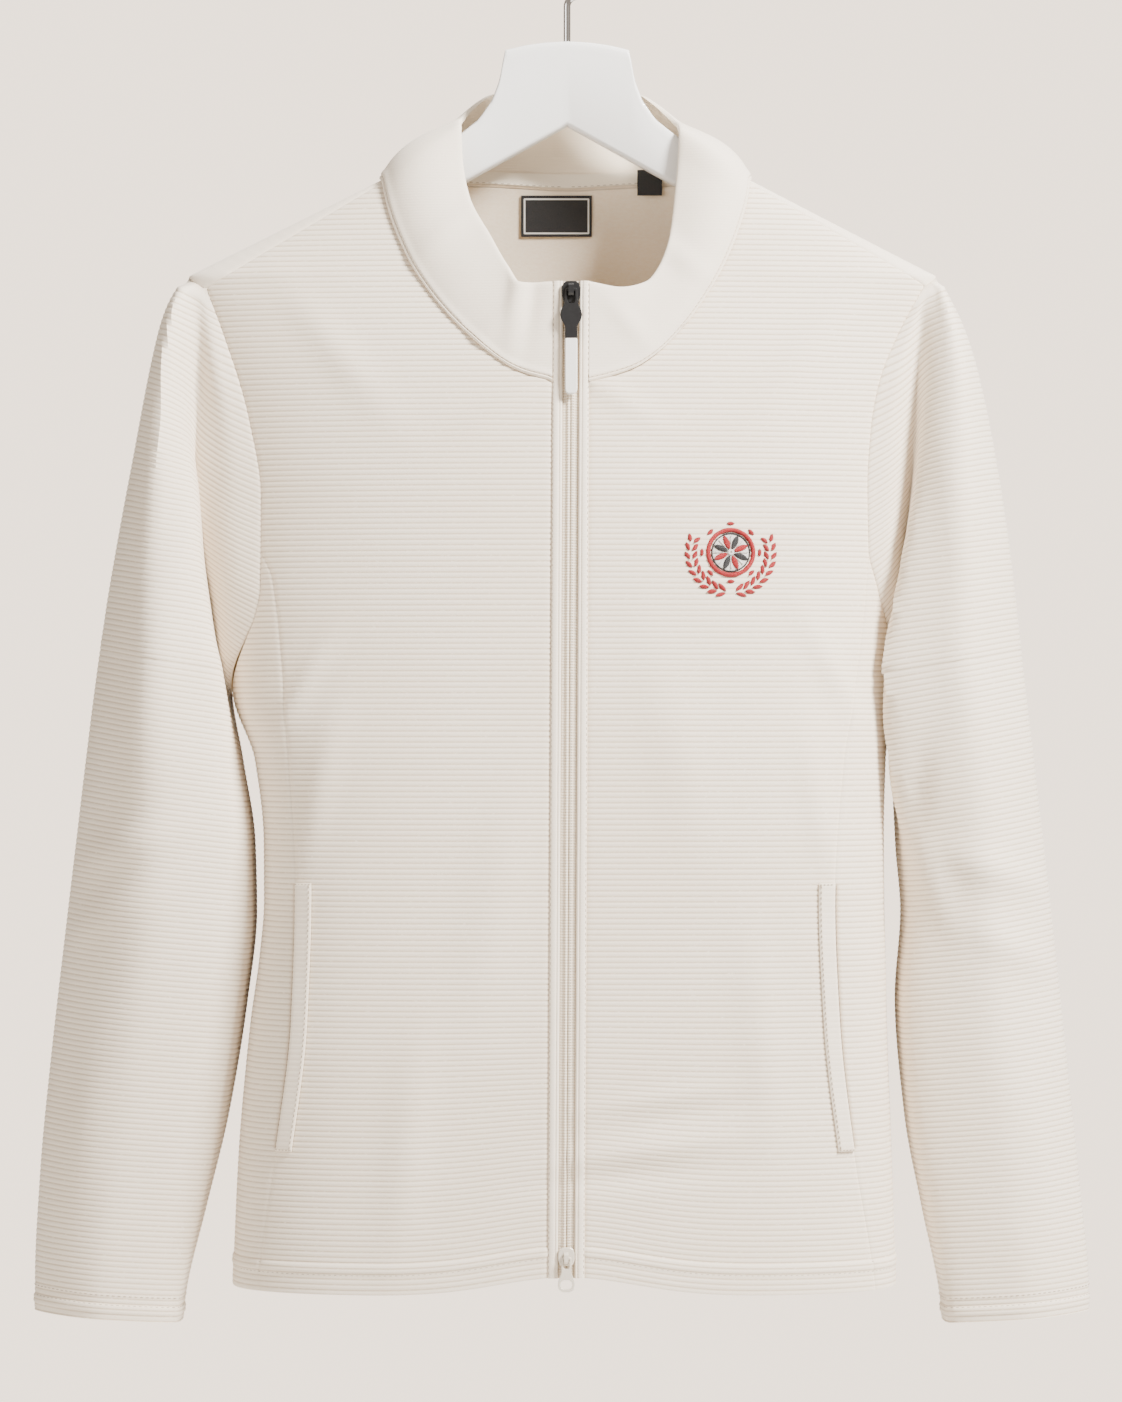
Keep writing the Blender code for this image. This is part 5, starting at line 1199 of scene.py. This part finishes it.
def knitCloth():
    # cream knit with painted shade in the rib grooves, broken by a fine grain, and deep painted
    # shade in the pocket's mouth; a brushed tan face inside
    paint = Paint("ribbedKnit", 0.82, sheen=0.15)
    _, spot = paint.places()
    groove, inside = paint.mark("groove"), paint.mark("inside")
    grain = paint.noise(spot, 900.0, 2.0, 0.6, (0.45, 0.45, 1.0))
    cloud = paint.noise(spot, 14.0, 2.0)
    cream = paint.mix(cloud.between(0.35, 0.7), (0.87, 0.77, 0.64), (0.89, 0.795, 0.67))
    # painted shade in the rib grooves, broken up by the grain
    line = groove.between(0.25, 1.0) * 0.85 * grain.between(0.1, 0.5)
    ribbed = paint.mix(line, cream, (0.58, 0.46, 0.33))
    # painted shade of the pocket's mouth, nearly black, where the groove mark passes 1
    ribbed = paint.mix(groove.between(1.02, 1.5), ribbed, (0.16, 0.105, 0.065))
    brushed = paint.mix(grain.between(0.3, 0.7), (0.90, 0.76, 0.58), (0.93, 0.81, 0.65))
    paint.put("Base Color", paint.mix(inside.above(0.5), ribbed, brushed))
    paint.bump(grain, 0.00012, 0.5)
    return paint.look


def smoothCloth():
    # the plain side of the knit: very fine ribs across its length, with painted shade in its seams
    # and sewn grooves
    paint = Paint("smoothKnit", 0.80, sheen=0.15)
    z, spot = paint.places()
    dark, inside = paint.mark("groove"), paint.mark("inside")
    grain = paint.noise(spot, 1300.0, 2.0, 0.6)
    cream = paint.mix(grain.between(0.3, 0.7), (0.87, 0.77, 0.64), (0.89, 0.80, 0.68))
    outer = paint.mix(dark.between(0.1, 1.0) * 0.8, cream, (0.60, 0.50, 0.39))
    paint.put("Base Color", paint.mix(inside.above(0.5), outer, (0.86, 0.75, 0.60)))
    paint.bump((z * (math.tau / 0.0016)).sine() * 0.4 + grain, 0.00010, 0.5)
    return paint.look


def zipCloth():
    # the zip's tape: tan weave with painted shade by the band and in the groove down the middle,
    # and rows of small loops over the coil
    paint = Paint("zipTape", 0.65)
    dark, phase = paint.mark("groove"), paint.mark("phase")
    loops = (phase * (math.tau / 0.0016)).sine().between(-0.6, 0.6)
    cream = paint.mix(loops, (0.70, 0.585, 0.44), (0.85, 0.775, 0.665))
    paint.put("Base Color", paint.mix(dark.between(0.05, 1.0), cream, (0.34, 0.255, 0.165)))
    paint.bump(loops, 0.0002, 0.6)
    return paint.look


def labelCloth():
    # woven black label with a thin pale frame
    paint = Paint("blackLabel", 0.7)
    across, down = paint.mark("phase"), paint.mark("groove")
    inX, inY = ((across - 0.5).size() - 0.452).size(), ((down - 0.5).size() - 0.415).size()
    frameX = (1 - inX.between(0.008, 0.014)) * (1 - ((down - 0.5).size()).between(0.42, 0.425))
    frameY = (1 - inY.between(0.013, 0.024)) * (1 - ((across - 0.5).size()).between(0.455, 0.458))
    _, spot = paint.places()
    weave = paint.noise(spot, 1500.0, 2.0)
    black = paint.mix(weave, (0.006, 0.006, 0.007), (0.022, 0.022, 0.024))
    paint.put("Base Color", paint.mix(frameX.most(frameY), black, (0.70, 0.69, 0.66)))
    paint.bump(weave, 0.0001, 0.5)
    return paint.look


def woodCloth():
    # white paint over wood, faintly uneven
    paint = Paint("paintedWood", 0.42, coat=0.15)
    _, spot = paint.places()
    cloud = paint.noise(spot, 30.0, 3.0)
    paint.put("Base Color", paint.mix(cloud, (0.90, 0.895, 0.875), (0.925, 0.92, 0.905)))
    paint.put("Roughness", 0.36 + cloud * 0.14)
    paint.bump(paint.noise(spot, 260.0, 2.0), 0.00008, 0.35)
    return paint.look


knitPaint, smoothPaint = knitCloth(), smoothCloth()
zipPaint, labelPaint, woodPaint = zipCloth(), labelCloth(), woodCloth()
tapePaint = plainPaint("neckTape", (0.87, 0.79, 0.66), 0.85)
chromePaint = plainPaint("chrome", (0.72, 0.72, 0.73), 0.16, 1.0)


def place(piece, node, slot):
    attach(piece, "jacket")
    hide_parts(node)
    return piece


back = place(makeBack(), "back", "knit")
collar = place(makeCollar(), "collar", "smooth_knit")
neckTape = place(makeNeckTape(), "neck_tape", "inner")
label = place(makeLabel(), "neck_label", "black_label")
sizeLabel = place(makeSizeLabel(), "size_label", "black_label")
for side in (-1, 1):
    part = fronts[side].lower()
    front = place(makeFront(side), "front_" + part, "knit")
    band = place(makeBand(side), "zip_band_" + part, "smooth_knit")
    tape = place(makeTape(side), "zip_tape_" + part, "coil")
    welt = place(makeWelt(side), "pocket_welt_" + part, "smooth_knit")
    wing = place(makeSide(side), "side_" + part, "knit")
    arm = place(makeSleeve(side), "sleeve_" + part, "knit")
print("cloth done")


# ---- sewing

# length, gap and thickness of the stitches in each seam
stitch = {
    "body": (0.0021, 0.0011, 0.00022), "zip": (0.0021, 0.0012, 0.00030),
    "tape": (0.0011, 0.0005, 0.00020), "welt": (0.0019, 0.0012, 0.00030),
    "weltEnd": (0.0014, 0.0007, 0.00026), "collar": (0.0019, 0.0010, 0.00022),
    "neckTape": (0.0024, 0.0013, 0.00022),
}


def addStitches(line, normals, lift, kind="body"):
    # small capsules along a line: middle + tangent * s + (normal * cos + side * sin) * radius
    long, gap, thick = stitch[kind]
    gone = travel(line)
    at = np.arange(gap, gone[-1] - long, long + gap)
    start, end = along(line, gone, at), along(line, gone, at + long)
    normal = unit(along(normals, gone, at + long / 2))
    tangent = unit(end - start)
    side = np.cross(normal, tangent)
    middle = (start + end) / 2 + normal * lift
    turn = np.arange(5) * math.tau / 5
    offsets = []
    for reach, radius in ((-0.34, 0.8), (0.0, 1.0), (0.34, 0.8)):
        ring = zip(radius * thick * np.cos(turn), radius * thick * np.sin(turn))
        offsets += [(reach * long, n, b) for n, b in ring]
    offsets += [(-long / 2, -thick * 0.6, 0.0), (long / 2, -thick * 0.6, 0.0)]
    offsets = np.array(offsets)
    points = (middle[:, None] + tangent[:, None] * offsets[None, :, :1]
              + normal[:, None] * offsets[None, :, 1:2] + side[:, None] * offsets[None, :, 2:])
    quads, three = [], []
    for i in range(5):
        j = (i + 1) % 5
        quads += [(k + i, k + j, k + 5 + j, k + 5 + i) for k in (0, 5)]
        three += [(15, j, i), (16, 10 + i, 10 + j)]
    base = (np.arange(len(at)) * 17)[:, None, None]
    return (points.reshape(-1, 3), (np.array(quads)[None] + base).reshape(-1, 4),
            (np.array(three)[None] + base).reshape(-1, 3))


def makeThreads(name, groups, paint):
    # all the stitches of one kind as one mesh
    points, quads, three, start = [], [], [], 0
    for p, q, t in groups:
        points.append(p)
        quads.append(q + start)
        three.append(t + start)
        start += len(p)
    print(name, "triangles", 2 * sum(map(len, quads)) + sum(map(len, three)))
    faces = [np.concatenate(quads), np.concatenate(three)]
    return makeMesh(name, np.concatenate(points), faces, {}, paint)


def bodyLine(side, angle, drop):
    # points and normals on the folded body
    points, normals = torso(side, angle, drop), torsoNormal(side, angle, drop)
    return folded(points, normals), normals


def hemLine(side, height):
    # round the body at one height above the hem, in one half
    drop = np.full(260, hemDrop - height)
    start = panelInner(side, drop[:1])[0][0]
    angle = start + (math.pi - start) * np.linspace(0.003, 1.0, 260)
    return bodyLine(side, angle, drop)


def cuffLine(side, height):
    # round the cuff; the row 1 mm above it gives the cloth's direction
    over, points = (through(sleeveRow(side, cuffDrop - height - more), 10)
                    for more in (0.001, 0.0))
    outward = points - points.mean(axis=0)
    normals = np.cross(np.gradient(points, axis=0), over - points)
    normals = unit(normals * np.sign((normals * outward).sum()))
    return points, normals


def weltLine(side, off):
    # along the welt at a distance in from its zip edge
    v = np.linspace(weltTopDrop, weltFootDrop, 60)
    return bodyLine(side, ovalAngle(side, weltEdge(side, v) - weltWidth + off, v), v)


def weltEnd(side, v):
    # across one end of the welt
    out = float(weltEdge(side, v)) - weltWidth + np.linspace(-0.0006, weltWidth, 12)
    drop = np.full(12, v)
    return bodyLine(side, ovalAngle(side, out, drop), drop)


def collarFoot(side, level):
    # along the collar at one share of its height
    points, normals, _ = collarSide(side, (0.0, level, 0.1))
    return points[1], normals[1]


def makeStitches():
    # rows beside the zip, on the welts, round hem and cuffs, and at the collar's foot
    seams, tapeSeams = [], []
    over = 0.00005  # how far the threads' middles lie over the cloth
    for side in (-1, 1):
        line, normal, _ = zipEdge(side)
        inward = np.array((-side, 0.0, 0.0))
        seams.append(addStitches(line + inward * 0.0006, normal, bandWall / 2 + over, "zip"))
        tapeSeams.append(addStitches(line + inward * (bandWidth + 0.0030), normal,
                                     tapeWall / 2 + 0.0007, "tape"))
        top = knit / 2 + clear + weltWall + over
        seams.append(addStitches(*weltLine(side, 0.0009), top, "welt"))
        for v in (weltTopDrop + 0.0009, weltFootDrop - 0.0009):
            seams.append(addStitches(*weltEnd(side, v), top, "weltEnd"))
        for height in (0.0112, 0.0167):
            seams.append(addStitches(*hemLine(side, height), knit / 2 + 2 * over))
        for height in (0.0088, 0.0142):
            seams.append(addStitches(*cuffLine(side, height), knit / 2 + 2 * over))
        seams.append(addStitches(*collarFoot(side, 0.050), collarWall / 2 + 0.0003, "collar"))
        points, normals, _ = collarSide(side, (0.015, 0.028, 0.16))
        back = points[0, :, 1] >= tapeStart + 0.002
        inner = collarWall / 2 + clear + neckTapeWall
        seams.append(addStitches(points[1, back], -normals[1, back], inner, "neckTape"))
    return (makeThreads("seamStitches", seams, shadedThreadPaint),
            makeThreads("zipStitches", tapeSeams, shadedThreadPaint))


# ---- embroidered rosette on the chest
# Eight petals in a corded ring between two sprigs: shapes and colours made up for this model.

rosette = {
    "middle": (0.0925, -0.3640), "ring": 0.0128,
    # distance from the middle, half length, half width and height
    "petal": (0.0061, 0.0042, 0.0021, 0.0011), "ray": (0.0072, 0.0024, 0.0007, 0.0009),
    "bead": (0.0164, 0.0022, 0.0013, 0.0008), "leaf": (0.0225, 0.0031, 0.0014, 0.0008),
    "leafLean": (0.55, 0.0017), "thread": 0.00042, "ringThread": 0.0006,
}


def onFront(x, z):
    # the front panel's outer face over a point (x, z), and its normal; a few steps find the drop
    drop = -z
    for _ in range(3):
        angle = ovalAngle(1, x, drop)
        drop = drop - (z - torso(1, angle, drop)[..., 2])
    return bodyLine(1, angle, drop)


def satinLift(t, high):
    # a rounded section: high * sqrt(1 - t^2) over the cloth, its edges just in it
    return knit / 2 - 0.0003 + (high + 0.0003) * np.sqrt(np.clip(1 - t * t * 0.999, 0, 1))


def motif(kind, turn, heading, reach=0.0, shorter=0.0, rows=15, columns=7):
    # a leaf: half width wide * (1 - s^2)^0.75 along its length, turned to its heading
    away, long, wide, high = rosette[kind]
    x, z = rosette["middle"]
    x, z = x + (away + reach) * math.cos(turn), z + (away + reach) * math.sin(turn)
    s, t = np.meshgrid(np.linspace(-0.985, 0.985, rows), np.linspace(-1.0, 1.0, columns),
                       indexing="ij")
    a, b = (long - shorter) * s, wide * (1 - s * s) ** 0.75 * t
    c, d = math.cos(heading), math.sin(heading)
    points, normals = onFront(x + a * c - b * d, z + a * d + b * c)
    return points + normals * satinLift(t, high)[..., None], a / rosette["thread"]


def ringMotif(radius, wide, high, thread=rosette["ringThread"]):
    # a closed cord: a half-round section swept round a circle
    x, z = rosette["middle"]
    a, t = np.meshgrid(np.linspace(0.0, math.tau, 97), np.linspace(-1.0, 1.0, 7), indexing="ij")
    r = radius + wide * t
    points, normals = onFront(x + r * np.cos(a), z + r * np.sin(a))
    return points + normals * satinLift(t, high)[..., None], a * radius / thread + t * 0.5


def makeRosette():
    # cords, petals and rays in eighths of a turn, beads outside them and leaves on two arcs
    ring = rosette["ring"]
    red, black = [ringMotif(ring, 0.00135, 0.0011)], [ringMotif(ring - 0.0021, 0.0005, 0.0006)]
    white = []
    eighths = [math.tau * i / 8 for i in range(8)]
    for i, turn in enumerate(eighths):
        petal = turn + math.pi / 8
        ray = petal + math.pi / 8
        (red, black)[i % 2].append(motif("petal", petal, petal))
        white.append(motif("ray", ray, ray))
    white += [ringMotif(0.0011, 0.0009, 0.0010), ringMotif(0.0056, 0.0056, 0.00035, 0.0004)]
    for turn in eighths:
        # small beads round the ring
        red.append(motif("bead", turn, turn + math.pi / 2, 0.0, 0.0, 9, 5))
    lean, offset = rosette["leafLean"]
    for side in (-1, 1):
        for i in range(9):
            # leaves in pairs along an arc that rises beside the ring
            share = i / 8
            turn = math.radians(-90 + side * (14 + 96 * share))
            for pair in (1, -1):
                heading = turn + side * (math.pi / 2 - pair * lean)
                red.append(motif("leaf", turn, heading, pair * offset * 1.25,
                                 0.0007 * share, 9, 5))
    pieces = []
    for name, group, paint in (("rosetteRed", red, redPaint), ("rosetteBlack", black, blackPaint),
                               ("rosetteWhite", white, whitePaint)):
        quads, start = [], 0
        for grid, phase in group:
            quad = gridQuads(grid.shape, start)
            face = np.cross(grid[1, 1] - grid[0, 1], grid[0, 2] - grid[0, 1])
            quads.append((quad[..., ::-1] if face[1] > 0 else quad).reshape(-1, 4))
            start += phase.size
        points = np.concatenate([grid.reshape(-1, 3) for grid, _ in group])
        phases = np.concatenate([phase.reshape(-1) for _, phase in group])
        pieces.append(makeMesh(name, points, [np.concatenate(quads)], {"phase": phases}, paint))
    return pieces


def satin(name, colour, shade):
    # embroidery thread: fine raised lines across each shape, with painted shade between the lines
    paint = Paint(name, 0.45, sheen=0.2)
    lines = (paint.mark("phase") * math.tau).sine()
    paint.put("Base Color", paint.mix(lines.between(-1.0, 0.6), shade, colour))
    paint.bump(lines, 0.0002, 0.7)
    return paint.look


# painted shade: the stitches are browned for the shade of their needle holes, not for the thread's
# own colour
shadedThreadPaint = plainPaint("thread", (0.36, 0.28, 0.20), 0.6)
redPaint = satin("redThread", (0.42, 0.001, 0.006), (0.22, 0.0005, 0.003))
blackPaint = satin("blackThread", (0.02, 0.02, 0.022), (0.006, 0.006, 0.007))
whitePaint = satin("whiteThread", (0.88, 0.86, 0.82), (0.62, 0.58, 0.52))
for piece in (*makeStitches(), *makeRosette()):
    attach(piece, "jacket")
print("sewing done")


# ---- metal and plastic of the zip, on the CAD's own parts

def metal(name, colour, roughness, metallic, coat):
    # small scratches and wear in the roughness
    paint = Paint(name, roughness, metallic, coat)
    _, spot = paint.places()
    wear = paint.noise(spot, 700.0, 3.0)
    paint.put("Base Color", paint.mix(wear, colour, tuple(c * 0.88 for c in colour)))
    paint.put("Roughness", roughness - 0.06 + wear * 0.12)
    return paint.look


finishes = {
    "slider_top": metal("blackMetal", (0.006, 0.006, 0.007), 0.40, 0.0, 0.1),
    "pull_top_end": metal("paleRubber", (0.86, 0.84, 0.80), 0.5, 0.0, 0.1),
    "slider_bottom": metal("creamMetal", (0.83, 0.76, 0.65), 0.34, 0.25, 0.3),
}
finishes["pull_top"], finishes["pull_bottom"] = finishes["slider_top"], finishes["slider_bottom"]
for node, look in finishes.items():
    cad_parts[node].material_slots[0].material = look

place(makeHanger(), "hanger", "white_paint")
place(makeHook(), "hook", "chrome")
